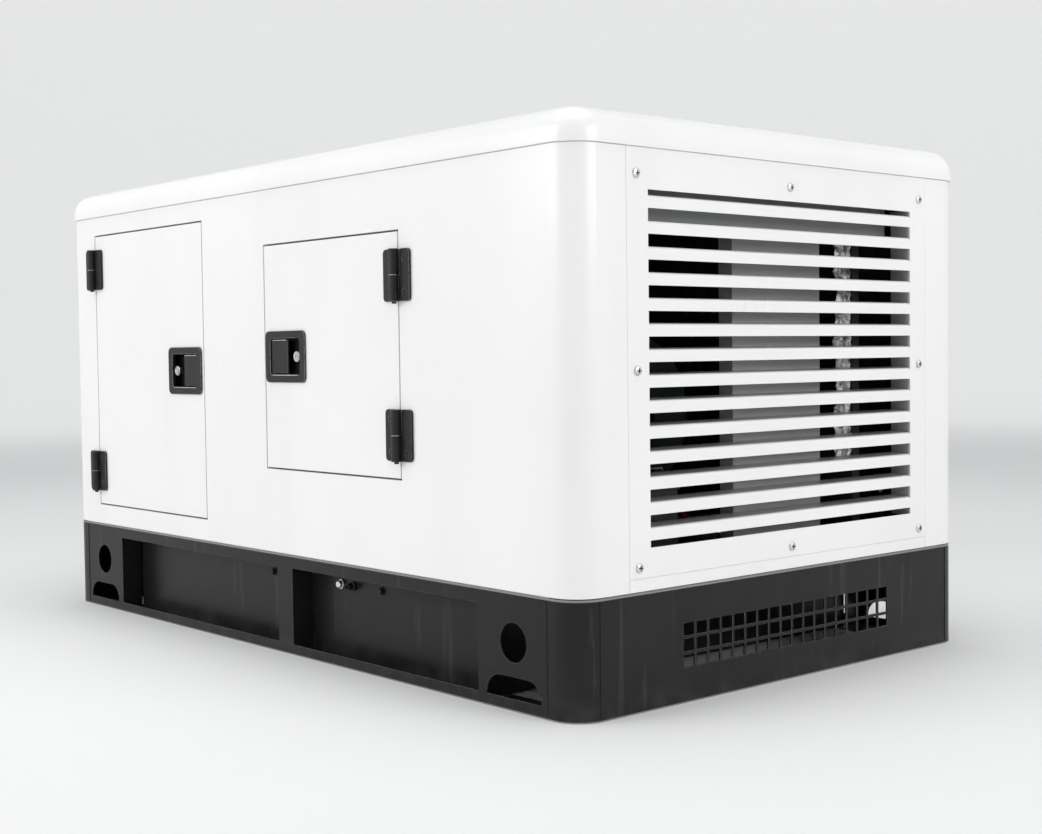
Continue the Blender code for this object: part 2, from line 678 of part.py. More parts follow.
def build_door(side, door):
    left, right, bottom, top = door_limits(door)
    hinge = (hinge_axis_x(door), FRONT - LEAF_SHEET - GAP - KNUCKLE_RADIUS / 2, bottom)
    slab = box((left, FRONT, bottom), (right, FRONT + DOOR_DEPTH, top))
    pan = add_object(f"{side}_door", slab, WHITE_PAINT, hinge)
    cut(pan, box((left + SHEET, FRONT + SHEET, bottom + SHEET), (right - SHEET, FRONT + 0.1, top - SHEET)))
    x, z, _ = latch_centre(door)
    half_x = LATCH_RECESS[0] / 2 + TRAY_WALL + 0.002
    half_z = LATCH_RECESS[1] / 2 + TRAY_WALL + 0.002
    cut(pan, box((x - half_x, FRONT - 0.01, z - half_z), (x + half_x, FRONT + 0.01, z + half_z)))
    edge = SHEET + GAP
    foam = add_object(f"{side}_door_foam", box((left + edge, FRONT + edge, bottom + edge),
                                               (right - edge, FRONT + DOOR_DEPTH - 0.001, top - edge)),
                      ACOUSTIC_FOAM, hinge)
    cut(foam, box((x - half_x, FRONT - 0.01, z - half_z), (x + half_x, FRONT + 0.1, z + half_z)))


def hinge_axis_x(door):
    hinge_x, free_x, _, _ = door
    return hinge_x + math.copysign(DOOR_GAP / 2, hinge_x - free_x)


def leaf_plate(x_start, x_end, z_low, z_high, outward):
    """A leaf with its two outer corners rounded."""
    start = (z_low + LEAF_CORNER, z_high - LEAF_CORNER)
    outline = [(x_start, z_low), (x_start, z_high)]
    far = x_end - outward * LEAF_CORNER
    high = arc((far, start[1]), LEAF_CORNER, 90, 0, 3)
    low = arc((far, start[0]), LEAF_CORNER, 0, -90, 3)
    if outward < 0:
        high = [(2 * far - x, z) for x, z in high]
        low = [(2 * far - x, z) for x, z in low]
    outline += high + low
    return prism(outline, "y", FRONT - GAP - LEAF_SHEET, FRONT - GAP)


def build_hinge(name, door, z):
    """A lift-off hinge: the wall leaf carries the pin and the lower knuckle, the door leaf the upper."""
    axis_x = hinge_axis_x(door)
    axis_y = FRONT - GAP - LEAF_SHEET - KNUCKLE_RADIUS / 2
    toward_door = math.copysign(1, door[1] - door[0])
    low, high = z - HINGE_HEIGHT / 2, z + HINGE_HEIGHT / 2
    clear = KNUCKLE_RADIUS + 0.0015
    for part, out, keep_low in (("wall", -toward_door, True), ("door", toward_door, False)):
        own = (low, z - GAP) if keep_low else (z + GAP, high)
        other = (z - GAP, high) if keep_low else (low, z + GAP)
        plate = leaf_plate(axis_x, axis_x + out * LEAF_WIDTH, low, high, out)
        leaf = add_object(f"{name}_{part}_leaf", plate, HARDWARE, (axis_x, axis_y, z))
        notch = sorted((axis_x - out * clear, axis_x + out * clear))
        cut(leaf, box((notch[0], FRONT - 0.03, other[0] - 0.0005 * (not keep_low)),
                      (notch[1], FRONT + 0.01, other[1] + 0.0005 * keep_low)))
        knuckle = rod("z", (axis_x, axis_y), KNUCKLE_RADIUS, *own, segments=20)
        join(leaf, knuckle)
        cut(leaf, box((axis_x - clear, FRONT - GAP, low - 0.01), (axis_x + clear, FRONT + 0.02, high + 0.01)))
        if keep_low:
            pin = rod("z", (axis_x, axis_y), HINGE_PIN_RADIUS, low - PIN_BELOW, high - PIN_SHORT, segments=16)
            join(leaf, pin)
        else:
            bore = HINGE_PIN_RADIUS + PIN_RUNNING
            cut(leaf, rod("z", (axis_x, axis_y), bore, low, high - PIN_SHORT + 0.0005, segments=16))
        sink = FRONT - GAP - LEAF_SHEET + HINGE_SCREW_SINK
        for height in (low + HINGE_SCREW_END, high - HINGE_SCREW_END):
            x = axis_x + out * LEAF_WIDTH * HINGE_SCREW_PLACE
            cut(leaf, rod("y", (x, height), HINGE_SCREW_RADIUS, FRONT - 0.01, sink, segments=12))


def build_latch(side, door):
    """A flush paddle latch: a tray with a frame, the pull paddle and a key cylinder beside it."""
    x, z, inward = latch_centre(door)
    face = FRONT - GAP - LATCH_PROUD
    floor = face + RECESS_DEPTH
    frame = rounded_rectangle(*LATCH_FLANGE, LATCH_CORNER, 4, (x, z))
    housing = add_object(f"{side}_latch_housing", prism(frame, "y", face, FRONT - GAP), HARDWARE)
    tray = [size + 2 * TRAY_WALL for size in LATCH_RECESS]
    join(housing, box((x - tray[0] / 2, FRONT - 0.001, z - tray[1] / 2),
                      (x + tray[0] / 2, floor + TRAY_WALL, z + tray[1] / 2)))
    cut(housing, prism(rounded_rectangle(*LATCH_RECESS, RECESS_CORNER, 3, (x, z)), "y", face - 0.01, floor))
    recess_free = x - inward * LATCH_RECESS[0] / 2
    pivot_x = recess_free + inward * 0.005
    paddle_y = face + PADDLE_SINK
    far_x = pivot_x + inward * (PADDLE[0] - 0.004)
    start, end = sorted((pivot_x, far_x))
    plate = bevelled_box((start, paddle_y, z - PADDLE[1] / 2),
                         (end, paddle_y + PADDLE[2], z + PADDLE[1] / 2), 0.001, 1)
    pivot = (pivot_x, paddle_y + PADDLE[2] / 2, z)
    paddle = add_object(f"{side}_latch_paddle", plate, HARDWARE, pivot)
    reach = LATCH_RECESS[1] / 2 - 0.0024
    join(paddle, rod("z", pivot[:2], 0.0035, z - reach, z + reach, 12))
    key_x = x + inward * (LATCH_RECESS[0] / 2 - KEY_INSET)
    key = add_object(f"{side}_key_cylinder",
                     rod("y", (key_x, z), KEY_RADIUS, face + 0.0015, floor - GAP, segments=20), ZINC,
                     (key_x, floor, z))
    cut(key, box((key_x - 0.0009, face - 0.01, z - 0.0045), (key_x + 0.0009, face + 0.005, z + 0.0045)))


# ---------------------------------------------------------------- engine, cooling, alternator

def build_engine():
    left, right = ENGINE_FRONT, ENGINE_BACK - GAP
    block = add_object("engine_block", box((left, -BLOCK_HALF_WIDTH, BLOCK_BOTTOM),
                                           (right, BLOCK_HALF_WIDTH, BLOCK_TOP)), ENGINE_PAINT)
    sump = bevelled_box((left + 0.02, -SUMP_HALF_WIDTH, SUMP_BOTTOM),
                        (right - 0.03, SUMP_HALF_WIDTH, BLOCK_BOTTOM + 0.02), 0.012, 2)
    reach = MOUNT_Y + 0.04
    feet = box((ENGINE_MOUNT_X - BEARER_WIDTH / 2, -reach, FOOT_BOTTOM),
               (ENGINE_MOUNT_X + BEARER_WIDTH / 2, reach, FOOT_BOTTOM + FOOT_HEIGHT))
    join(block, sump, feet)
    for side in (-1, 1):
        start, end = sorted((side * (BLOCK_HALF_WIDTH - 0.01), side * (reach - 0.03)))
        join(block, box((ENGINE_MOUNT_X - 0.02, start, FOOT_BOTTOM + 0.005),
                        (ENGINE_MOUNT_X + 0.02, end, BLOCK_BOTTOM + 0.08)))
    for z in (FAN_Z, CRANK_Z):
        join(block, rod("x", (0.0, z), 0.03, left - BOSS_LENGTH, left + 0.01))
    start, end, under = FILTER_BOSS
    join(block, box((start, -BLOCK_HALF_WIDTH - 2 * FILTER_REACH, under),
                    (end, -BLOCK_HALF_WIDTH + 0.01, under + 0.03)))
    filter_centre = ((start + end) / 2, -BLOCK_HALF_WIDTH - FILTER_REACH)
    top = under - GAP
    low = top - FILTER_LENGTH
    can = turned("z", filter_centre, [
        (0.0, top), (FILTER_RADIUS - 0.002, top), (FILTER_RADIUS, top - 0.004), (FILTER_RADIUS, low + 0.01),
        (FILTER_RADIUS - 0.008, low), (0.0, low)])
    add_object("oil_filter", can, WHITE_PAINT)
    head = add_object("cylinder_head", box((left + 0.01, -BLOCK_HALF_WIDTH, BLOCK_TOP + GAP),
                                           (right - 0.01, BLOCK_HALF_WIDTH, HEAD_TOP)), ENGINE_PAINT)
    cover = bevelled_box((left + 0.03, -COVER_HALF_WIDTH, HEAD_TOP - 0.01),
                         (right - 0.03, COVER_HALF_WIDTH, COVER_TOP), 0.015, 2)
    join(head, cover)
    neck = STARTER_RADIUS - 0.006
    starter = turned("x", STARTER_PLACE, [
        (0.0, -STARTER_LENGTH), (neck, -STARTER_LENGTH), (STARTER_RADIUS, 0.01 - STARTER_LENGTH),
        (STARTER_RADIUS, -0.05), (neck, -0.045), (neck, -GAP), (0.0, -GAP)])
    bmesh.ops.translate(starter, verts=starter.verts, vec=(right, 0.0, 0.0))
    add_object("starter_motor", starter, BLACK_PAINT)


def build_air_cleaner():
    y, z = AIR_CLEANER_PLACE
    start, end = AIR_CLEANER_ENDS
    radius = AIR_CLEANER_RADIUS
    canister = add_object("air_cleaner", turned("x", (y, z), [
        (0.0, start), (radius - 0.01, start), (radius, start + 0.01), (radius, end - 0.06),
        (radius - 0.004, end - 0.055), (radius - 0.004, end - 0.01), (radius - 0.014, end),
        (0.0, end)]), BLACK_PLASTIC)
    bracket = box((start + 0.09, y + 0.04, z - 0.06), (start + 0.15, -BLOCK_HALF_WIDTH - GAP, z - 0.01))
    join(canister, bracket)


def tangent_belt(radius_low, radius_high, grow):
    """Outline of a belt round two pulleys, one above the other, as y and z.
    Its arcs have flat steps, so they are drawn wide enough for the steps to clear the pulleys."""
    steps = 14
    outside = 1 / math.cos(math.radians(100 / steps))
    low, high = (radius_low + grow) * outside, (radius_high + grow) * outside
    lean = math.degrees(math.asin((low - high) / (FAN_Z - CRANK_Z)))
    return (arc((0.0, CRANK_Z), low, 180 - lean, 360 + lean, steps)
            + arc((0.0, FAN_Z), high, lean, 180 - lean, steps))


def build_fan_drive():
    seat = ENGINE_FRONT - BOSS_LENGTH - GAP
    blade_middle = RADIATOR_BACK + 0.05
    pulley = (seat - 0.01 - PULLEY_WIDTH, seat - 0.01)
    hub = turned("x", (0.0, FAN_Z), [
        (0.0, blade_middle - 0.025), (0.042, blade_middle - 0.025), (0.045, blade_middle + 0.02),
        (0.014, blade_middle + 0.022), (0.014, pulley[0]), (FAN_PULLEY_RADIUS, pulley[0]),
        (FAN_PULLEY_RADIUS, pulley[1]), (0.014, pulley[1]), (0.014, seat), (0.0, seat)])
    fan = add_object("cooling_fan", hub, BLACK_PLASTIC, (blade_middle, 0.0, FAN_Z))
    blades = []
    for i in range(FAN_BLADES):
        blade = box((-0.0015, -BLADE_HALF_CHORD, BLADE_ROOT), (0.0015, BLADE_HALF_CHORD, FAN_RADIUS))
        bmesh.ops.rotate(blade, verts=blade.verts, cent=(0, 0, 0),
                         matrix=Matrix.Rotation(math.radians(BLADE_TWIST), 3, "Z"))
        bmesh.ops.rotate(blade, verts=blade.verts, cent=(0, 0, 0),
                         matrix=Matrix.Rotation(2 * math.pi * i / FAN_BLADES, 3, "X"))
        bmesh.ops.translate(blade, verts=blade.verts, vec=(blade_middle - 0.002, 0.0, FAN_Z))
        blades.append(blade)
    for blade in blades:
        join(fan, blade)
    crank = turned("x", (0.0, CRANK_Z), [
        (0.0, pulley[0] - 0.006), (0.02, pulley[0] - 0.006), (0.02, pulley[0]),
        (CRANK_PULLEY_RADIUS, pulley[0]), (CRANK_PULLEY_RADIUS, pulley[1]), (0.02, pulley[1]),
        (0.02, seat), (0.0, seat)])
    add_object("crank_pulley", crank, CAST_IRON, (pulley[0], 0.0, CRANK_Z))
    edge = 0.001
    outside = tangent_belt(CRANK_PULLEY_RADIUS, FAN_PULLEY_RADIUS, GAP + BELT_THICKNESS)
    inside = tangent_belt(CRANK_PULLEY_RADIUS, FAN_PULLEY_RADIUS, GAP)
    belt = add_object("fan_belt", prism(outside, "x", pulley[0] + edge, pulley[1] - edge), RUBBER)
    cut(belt, prism(inside, "x", pulley[0] - 0.01, pulley[1] + 0.01))


def build_radiator():
    back = RADIATOR_BACK
    front = back - RADIATOR_DEPTH
    body = box((front, -RADIATOR_HALF_WIDTH, DECK), (back, RADIATOR_HALF_WIDTH, RADIATOR_TOP))
    core = add_object("radiator", body, ALUMINIUM)
    recesses = [box((start, -CORE_HALF_WIDTH, CORE_BOTTOM), (end, CORE_HALF_WIDTH, CORE_TOP))
                for start, end in ((front - 0.01, front + CORE_RECESS), (back - CORE_RECESS, back + 0.01))]
    cut(core, merged(*recesses))
    cap_centre = ((front + back) / 2, RADIATOR_CAP_Y)
    top = RADIATOR_TOP + GAP
    add_object("radiator_cap", turned("z", cap_centre, [
        (0.0, top), (0.018, top), (0.018, top + 0.006), (0.023, top + 0.008), (0.023, top + 0.016),
        (0.018, top + 0.02), (0.0, top + 0.02)]), ZINC, (*cap_centre, top))
    start = back + GAP
    plate = box((start, -RADIATOR_HALF_WIDTH, DECK + 0.002),
                (start + SHROUD_SHEET, RADIATOR_HALF_WIDTH, RADIATOR_TOP))
    shroud = add_object("fan_shroud", plate, BLACK_PAINT)
    join(shroud, rod("x", (0.0, FAN_Z), SHROUD_RADIUS + 0.004, start + 0.001, start + SHROUD_DEPTH, 32))
    cut(shroud, rod("x", (0.0, FAN_Z), SHROUD_RADIUS, start - 0.01, start + 0.1, 32))


def build_alternator():
    housing_end = ENGINE_BACK + HOUSING_LENGTH
    face = housing_end - GAP
    housing = turned("x", (0.0, SHAFT_Z), [
        (0.0, ENGINE_BACK), (HOUSING_RADIUS - 0.01, ENGINE_BACK), (HOUSING_RADIUS, ENGINE_BACK + 0.01),
        (HOUSING_RADIUS, housing_end - 0.02), (HOUSING_RADIUS - 0.015, face), (0.0, face)], 32)
    add_object("flywheel_housing", housing, CAST_IRON)
    end = housing_end + ALTERNATOR_LENGTH
    radius = ALTERNATOR_RADIUS
    bell = radius + 0.01
    alternator = add_object("alternator", turned("x", (0.0, SHAFT_Z), [
        (0.0, housing_end), (bell, housing_end), (bell, housing_end + 0.05), (radius, housing_end + 0.055),
        (radius, end - 0.06), (radius - 0.008, end - 0.055), (radius - 0.01, end - 0.01),
        (radius - 0.03, end), (0.05, end), (0.05, end - 0.02), (0.0, end - 0.02)], 32), ENGINE_PAINT)
    reach = MOUNT_Y + 0.04
    half = BEARER_WIDTH / 2
    x = ALTERNATOR_MOUNT_X
    join(alternator, box((x - half, -reach, FOOT_BOTTOM), (x + half, reach, FOOT_BOTTOM + FOOT_HEIGHT)))
    pedestal = box((x - half + 0.01, -0.09, FOOT_BOTTOM + 0.004), (x + half - 0.01, 0.09, SHAFT_Z - 0.1))
    terminal_box = bevelled_box((x - 0.12, -0.09, SHAFT_Z + 0.12), (x + 0.08, 0.09, SHAFT_Z + 0.22), 0.006, 1)
    join(alternator, pedestal)
    join(alternator, terminal_box)


def build_mounts():
    for end, x in (("engine", ENGINE_MOUNT_X), ("alternator", ALTERNATOR_MOUNT_X)):
        for side, y in (("door_side", -MOUNT_Y), ("rear_side", MOUNT_Y)):
            low, high = BEARER_TOP + GAP, BEARER_TOP + GAP + MOUNT_HEIGHT
            waist = MOUNT_RADIUS - 0.004
            block = turned("z", (x, y), [
                (0.0, low), (MOUNT_RADIUS, low), (MOUNT_RADIUS, low + 0.004), (waist, low + 0.01),
                (waist, high - 0.01), (MOUNT_RADIUS, high - 0.004), (MOUNT_RADIUS, high), (0.0, high)], 16)
            add_object(f"{end}_mount_{side}", block, RUBBER)


def build_exhaust():
    left, right = MANIFOLD_ENDS
    low, high = MANIFOLD_LEVELS
    log = bevelled_box((left, BLOCK_HALF_WIDTH + GAP, low),
                       (right, BLOCK_HALF_WIDTH + MANIFOLD_DEPTH, high), 0.008, 2)
    manifold = add_object("exhaust_manifold", log, CAST_IRON)
    riser_top = MUFFLER_Z - MUFFLER_RADIUS - GAP
    join(manifold, rod("z", (RISER_X, MUFFLER_Y), TAIL_RADIUS, (low + high) / 2, riser_top, 20))
    tail_end = -LENGTH / 2 + JAMB_DEPTH + 0.02
    body = MUFFLER_ENDS
    bore = TAIL_RADIUS - 0.003
    silencer = turned("x", (MUFFLER_Y, MUFFLER_Z), [
        (0.0, tail_end + 0.08), (bore, tail_end + 0.08), (bore, tail_end), (TAIL_RADIUS, tail_end),
        (TAIL_RADIUS, body[0]), (MUFFLER_RADIUS - 0.015, body[0] + 0.003), (MUFFLER_RADIUS, body[0] + 0.018),
        (MUFFLER_RADIUS, body[1] - 0.018), (MUFFLER_RADIUS - 0.015, body[1]), (0.0, body[1])])
    add_object("muffler", silencer, EXHAUST_STEEL)


def build_battery():
    left = TANK_HALF_LENGTH + 0.015
    front = FRONT + BATTERY_INSET
    top = BATTERY_TOP
    case = bevelled_box((left, front, DECK), (left + BATTERY_SIZE[0], front + BATTERY_SIZE[1], top), 0.004, 1)
    battery = add_object("battery", case, BLACK_PLASTIC)
    for post in BATTERY_POSTS:
        join(battery, rod("z", (left + 0.03, front + post), 0.009, top - 0.01, top + 0.015, 12, 0.008))


# ---------------------------------------------------------------- controls

def build_controls():
    face = FRONT + CABINET_INSET
    back = face + CABINET_DEPTH
    left, right = CABINET_X
    bottom, top = CABINET_Z
    cabinet = add_object("control_cabinet", box((left, face, bottom), (right, back, top)), GREY_PAINT)
    wall = CABINET_SHEET
    for x in (left, right - LEG):
        join(cabinet, box((x, face + 0.001, DECK + 0.002), (x + LEG, face + LEG, bottom + 0.01)))
        join(cabinet, box((x, FRONT + BEARER_INSET, DECK), (x + LEG, face + LEG - 0.002, DECK + 0.004)))
    breaker = (left + BREAKER_X[0], left + BREAKER_X[1], bottom + BREAKER_Z[0], bottom + BREAKER_Z[1])
    join(cabinet, box((breaker[0], face - BREAKER_PROUD, breaker[2]), (breaker[1], face + 0.01, breaker[3])))
    button = (right - STOP_BUTTON[0], bottom + STOP_BUTTON[1])
    cut(cabinet, box((left + wall, face + wall, bottom + wall), (right - wall, back + 0.01, top - wall)))
    cut(cabinet, rod("y", button, 0.0085, face - 0.01, face + 0.01, 16))
    stop = turned("y", button, [
        (0.0, face + 0.004), (0.008, face + 0.004), (0.008, face - 0.0075), (0.020, face - 0.009),
        (0.020, face - 0.016), (0.014, face - 0.020), (0.0, face - 0.0205)])
    add_object("emergency_stop_button", stop, RED_PLASTIC, (button[0], face, button[1]))
    switch = (right - KEY_SWITCH[0], bottom + KEY_SWITCH[1])
    barrel = turned("y", switch, [
        (0.0, face - GAP), (0.013, face - GAP), (0.013, face - 0.006), (0.010, face - 0.009),
        (0.0, face - 0.009)])
    key = add_object("start_key_switch", barrel, ZINC, (switch[0], face, switch[1]))
    join(key, bevelled_box((switch[0] - 0.0015, face - 0.030, switch[1] - 0.009),
                           (switch[0] + 0.0015, face - 0.007, switch[1] + 0.009), 0.0005, 1))
    lever_x = (breaker[0] + breaker[1]) / 2
    lever_z = (breaker[2] + breaker[3]) / 2
    axis_y = face - BREAKER_PROUD - GAP - LEVER_RADIUS
    barrel = rod("x", (axis_y, lever_z), LEVER_RADIUS, lever_x - 0.018, lever_x + 0.018, 12)
    lever = add_object("breaker_lever", barrel, BLACK_PLASTIC, (lever_x, axis_y, lever_z))
    join(lever, box((lever_x - 0.012, axis_y - 0.020, lever_z - 0.003),
                    (lever_x + 0.012, axis_y, lever_z + 0.003)))


build_base_frame()
build_fuel_tank()
build_bearers()
build_walls()
build_ends()
build_inlet_baffle()
build_lid()
for door_side, door_size in (("left", LEFT_DOOR), ("right", RIGHT_DOOR)):
    build_door(door_side, door_size)
    build_latch(door_side, door_size)
    build_hinge(f"{door_side}_lower_hinge", door_size, door_size[2] + HINGE_INSET)
    build_hinge(f"{door_side}_upper_hinge", door_size, door_size[3] - HINGE_INSET)
build_engine()
build_air_cleaner()
build_fan_drive()
build_radiator()
build_alternator()
build_mounts()
build_exhaust()
build_battery()
build_controls()
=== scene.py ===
"""Looks of a standby generator set: studio, paints, castings, lining, wiring and small fittings,
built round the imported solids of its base, canopy, doors, engine, alternator and controls."""

import json
import math
import random

import bmesh
import bpy
from mathutils import Matrix, Vector

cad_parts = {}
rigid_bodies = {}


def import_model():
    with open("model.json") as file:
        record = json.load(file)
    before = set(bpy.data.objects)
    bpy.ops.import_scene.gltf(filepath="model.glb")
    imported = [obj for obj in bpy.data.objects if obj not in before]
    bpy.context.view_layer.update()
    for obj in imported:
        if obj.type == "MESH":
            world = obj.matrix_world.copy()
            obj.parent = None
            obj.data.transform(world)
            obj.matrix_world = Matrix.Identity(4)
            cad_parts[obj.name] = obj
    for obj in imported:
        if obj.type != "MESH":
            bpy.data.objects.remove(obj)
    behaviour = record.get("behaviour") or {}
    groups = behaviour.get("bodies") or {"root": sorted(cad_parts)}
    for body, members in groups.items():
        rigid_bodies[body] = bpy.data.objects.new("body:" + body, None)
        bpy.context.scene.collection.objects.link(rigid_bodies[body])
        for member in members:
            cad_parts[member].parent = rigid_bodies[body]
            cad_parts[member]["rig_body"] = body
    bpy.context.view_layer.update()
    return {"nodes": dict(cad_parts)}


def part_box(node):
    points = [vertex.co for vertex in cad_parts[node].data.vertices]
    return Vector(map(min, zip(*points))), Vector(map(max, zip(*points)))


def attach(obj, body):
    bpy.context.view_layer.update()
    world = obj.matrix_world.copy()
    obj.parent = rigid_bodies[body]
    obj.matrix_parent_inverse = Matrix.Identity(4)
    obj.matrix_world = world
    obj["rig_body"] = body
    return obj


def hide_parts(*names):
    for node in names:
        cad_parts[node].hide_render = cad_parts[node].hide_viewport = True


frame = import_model()

# ---------------------------------------------------------------- studio
# A pale floor that curves up into a pale wall all round, lit by three soft boxes. The camera stands
# off the corner between the service doors and the inlet louvres, a little above half the set's height.

CAMERA_PLACE = Vector((2.505, -2.044, 0.559))
CAMERA_TURN = math.radians(139.02)
CAMERA_DROP = math.radians(-2.40)
CAMERA_LEAN = math.radians(-0.71)
LENS = 53.10
FLOOR_RADIUS = 9.0
SWEEP_RADIUS = 4.0
WALL_TOP = 9.0
GLOW_START = 4.0
GLOW_FULL = 10.5
WALL_GLOW = 0.265


def studio_paint(name, colour, roughness):
    """Matt paint that glows more with distance, so that the backdrop is even all round."""
    made = bpy.data.materials.new(name)
    made.use_nodes = True
    tree = made.node_tree
    shader = tree.nodes["Principled BSDF"]
    shader.inputs["Base Color"].default_value = (*colour, 1.0)
    shader.inputs["Roughness"].default_value = roughness
    shader.inputs["Specular IOR Level"].default_value = 0.2
    shader.inputs["Emission Strength"].default_value = 1.0
    place = tree.nodes.new("ShaderNodeTexCoord")
    distance = tree.nodes.new("ShaderNodeVectorMath")
    distance.operation = "LENGTH"
    glow = tree.nodes.new("ShaderNodeMapRange")
    glow.interpolation_type = "SMOOTHSTEP"
    glow.inputs["From Min"].default_value = GLOW_START
    glow.inputs["From Max"].default_value = GLOW_FULL
    glow.inputs["To Max"].default_value = WALL_GLOW
    tree.links.new(place.outputs["Object"], distance.inputs[0])
    tree.links.new(distance.outputs["Value"], glow.inputs["Value"])
    tree.links.new(glow.outputs["Result"], shader.inputs["Emission Color"])
    return made


def build_studio_floor():
    mesh = bmesh.new()
    rim = [mesh.verts.new((radius, 0.0, 0.0)) for radius in (0.0, 1.0, 3.0, 6.0)]
    for i in range(13):
        turn = math.radians(90 * i / 12)
        rim.append(mesh.verts.new((FLOOR_RADIUS + SWEEP_RADIUS * math.sin(turn), 0.0,
                                   SWEEP_RADIUS * (1 - math.cos(turn)))))
    rim.append(mesh.verts.new((FLOOR_RADIUS + SWEEP_RADIUS, 0.0, WALL_TOP)))
    edges = [mesh.edges.new(pair) for pair in zip(rim, rim[1:])]
    bmesh.ops.spin(mesh, geom=rim + edges, cent=(0, 0, 0), axis=(0, 0, 1), angle=2 * math.pi,
                   steps=96, use_merge=True)
    bmesh.ops.remove_doubles(mesh, verts=mesh.verts, dist=1e-4)
    bmesh.ops.recalc_face_normals(mesh, faces=mesh.faces)
    data = bpy.data.meshes.new("studio_floor")
    mesh.to_mesh(data)
    mesh.free()
    data.shade_smooth()
    data.materials.append(studio_paint("pale studio floor", (0.76, 0.76, 0.76), 0.8))
    floor = bpy.data.objects.new("studio_floor", data)
    bpy.context.scene.collection.objects.link(floor)


def soft_box(name, place, aim, width, height, power):
    lamp = bpy.data.lights.new(name, "AREA")
    lamp.shape = "RECTANGLE"
    lamp.size = width
    lamp.size_y = height
    lamp.energy = power
    box = bpy.data.objects.new(name, lamp)
    box.location = place
    box.rotation_euler = (Vector(aim) - Vector(place)).to_track_quat("-Z", "Y").to_euler()
    bpy.context.scene.collection.objects.link(box)


def build_camera():
    ahead = Vector((math.cos(CAMERA_DROP) * math.cos(CAMERA_TURN),
                    math.cos(CAMERA_DROP) * math.sin(CAMERA_TURN), math.sin(CAMERA_DROP)))
    level = Vector((math.sin(CAMERA_TURN), -math.cos(CAMERA_TURN), 0.0))
    above = level.cross(ahead)
    right = math.cos(CAMERA_LEAN) * level + math.sin(CAMERA_LEAN) * above
    up = math.cos(CAMERA_LEAN) * above - math.sin(CAMERA_LEAN) * level
    lens = bpy.data.cameras.new("camera")
    lens.lens = LENS
    lens.sensor_width = 36.0
    lens.clip_start = 0.05
    lens.clip_end = 100.0
    camera = bpy.data.objects.new("camera", lens)
    turned = Matrix((right, up, -ahead)).transposed().to_4x4()
    camera.matrix_world = Matrix.Translation(CAMERA_PLACE) @ turned
    bpy.context.scene.collection.objects.link(camera)
    bpy.context.scene.camera = camera


def build_sky():
    sky = bpy.data.worlds.new("studio sky")
    sky.use_nodes = True
    light = sky.node_tree.nodes["Background"]
    light.inputs["Color"].default_value = (0.96, 0.98, 1.0, 1.0)
    light.inputs["Strength"].default_value = 0.45
    bpy.context.scene.world = sky


build_studio_floor()
build_camera()
build_sky()
soft_box("overhead_box", (0.3, -0.4, 5.2), (0.0, 0.0, 0.4), 5.5, 4.5, 142)
soft_box("door_side_box", (-1.8, -5.2, 2.6), (0.0, -0.4, 0.4), 4.5, 3.0, 124)
soft_box("inlet_end_box", (5.4, 1.2, 2.4), (0.6, 0.0, 0.4), 3.4, 2.8, 92)
bpy.context.scene.view_settings.view_transform = "Standard"

# ---------------------------------------------------------------- base frame
# A skid pressed from 3 mm steel sheet, rolled at its corners and welded to end pieces there, with
# windows, lifting holes and lever slots. It is coated in black powder that is scuffed in handling.


class Value:
    """One number, colour or vector of a finish. A sum on values adds the nodes that it needs."""

    def __init__(self, finish, socket):
        self.finish = finish
        self.socket = socket

    def sum(self, operation, first, second):
        return self.finish.node("Math", {"operation": operation}, {0: first, 1: second})

    def __add__(self, other):
        return self.sum("ADD", self, other)

    def __sub__(self, other):
        return self.sum("SUBTRACT", self, other)

    def __rsub__(self, other):
        return self.sum("SUBTRACT", other, self)

    def __mul__(self, other):
        return self.sum("MULTIPLY", self, other)

    __radd__ = __add__
    __rmul__ = __mul__

    def between(self, low, high):
        """0 below low, 1 above high and a smooth step from one to the other."""
        return self.finish.node("MapRange", {"interpolation_type": "SMOOTHSTEP"},
                                {"Value": self, "From Min": low, "From Max": high})


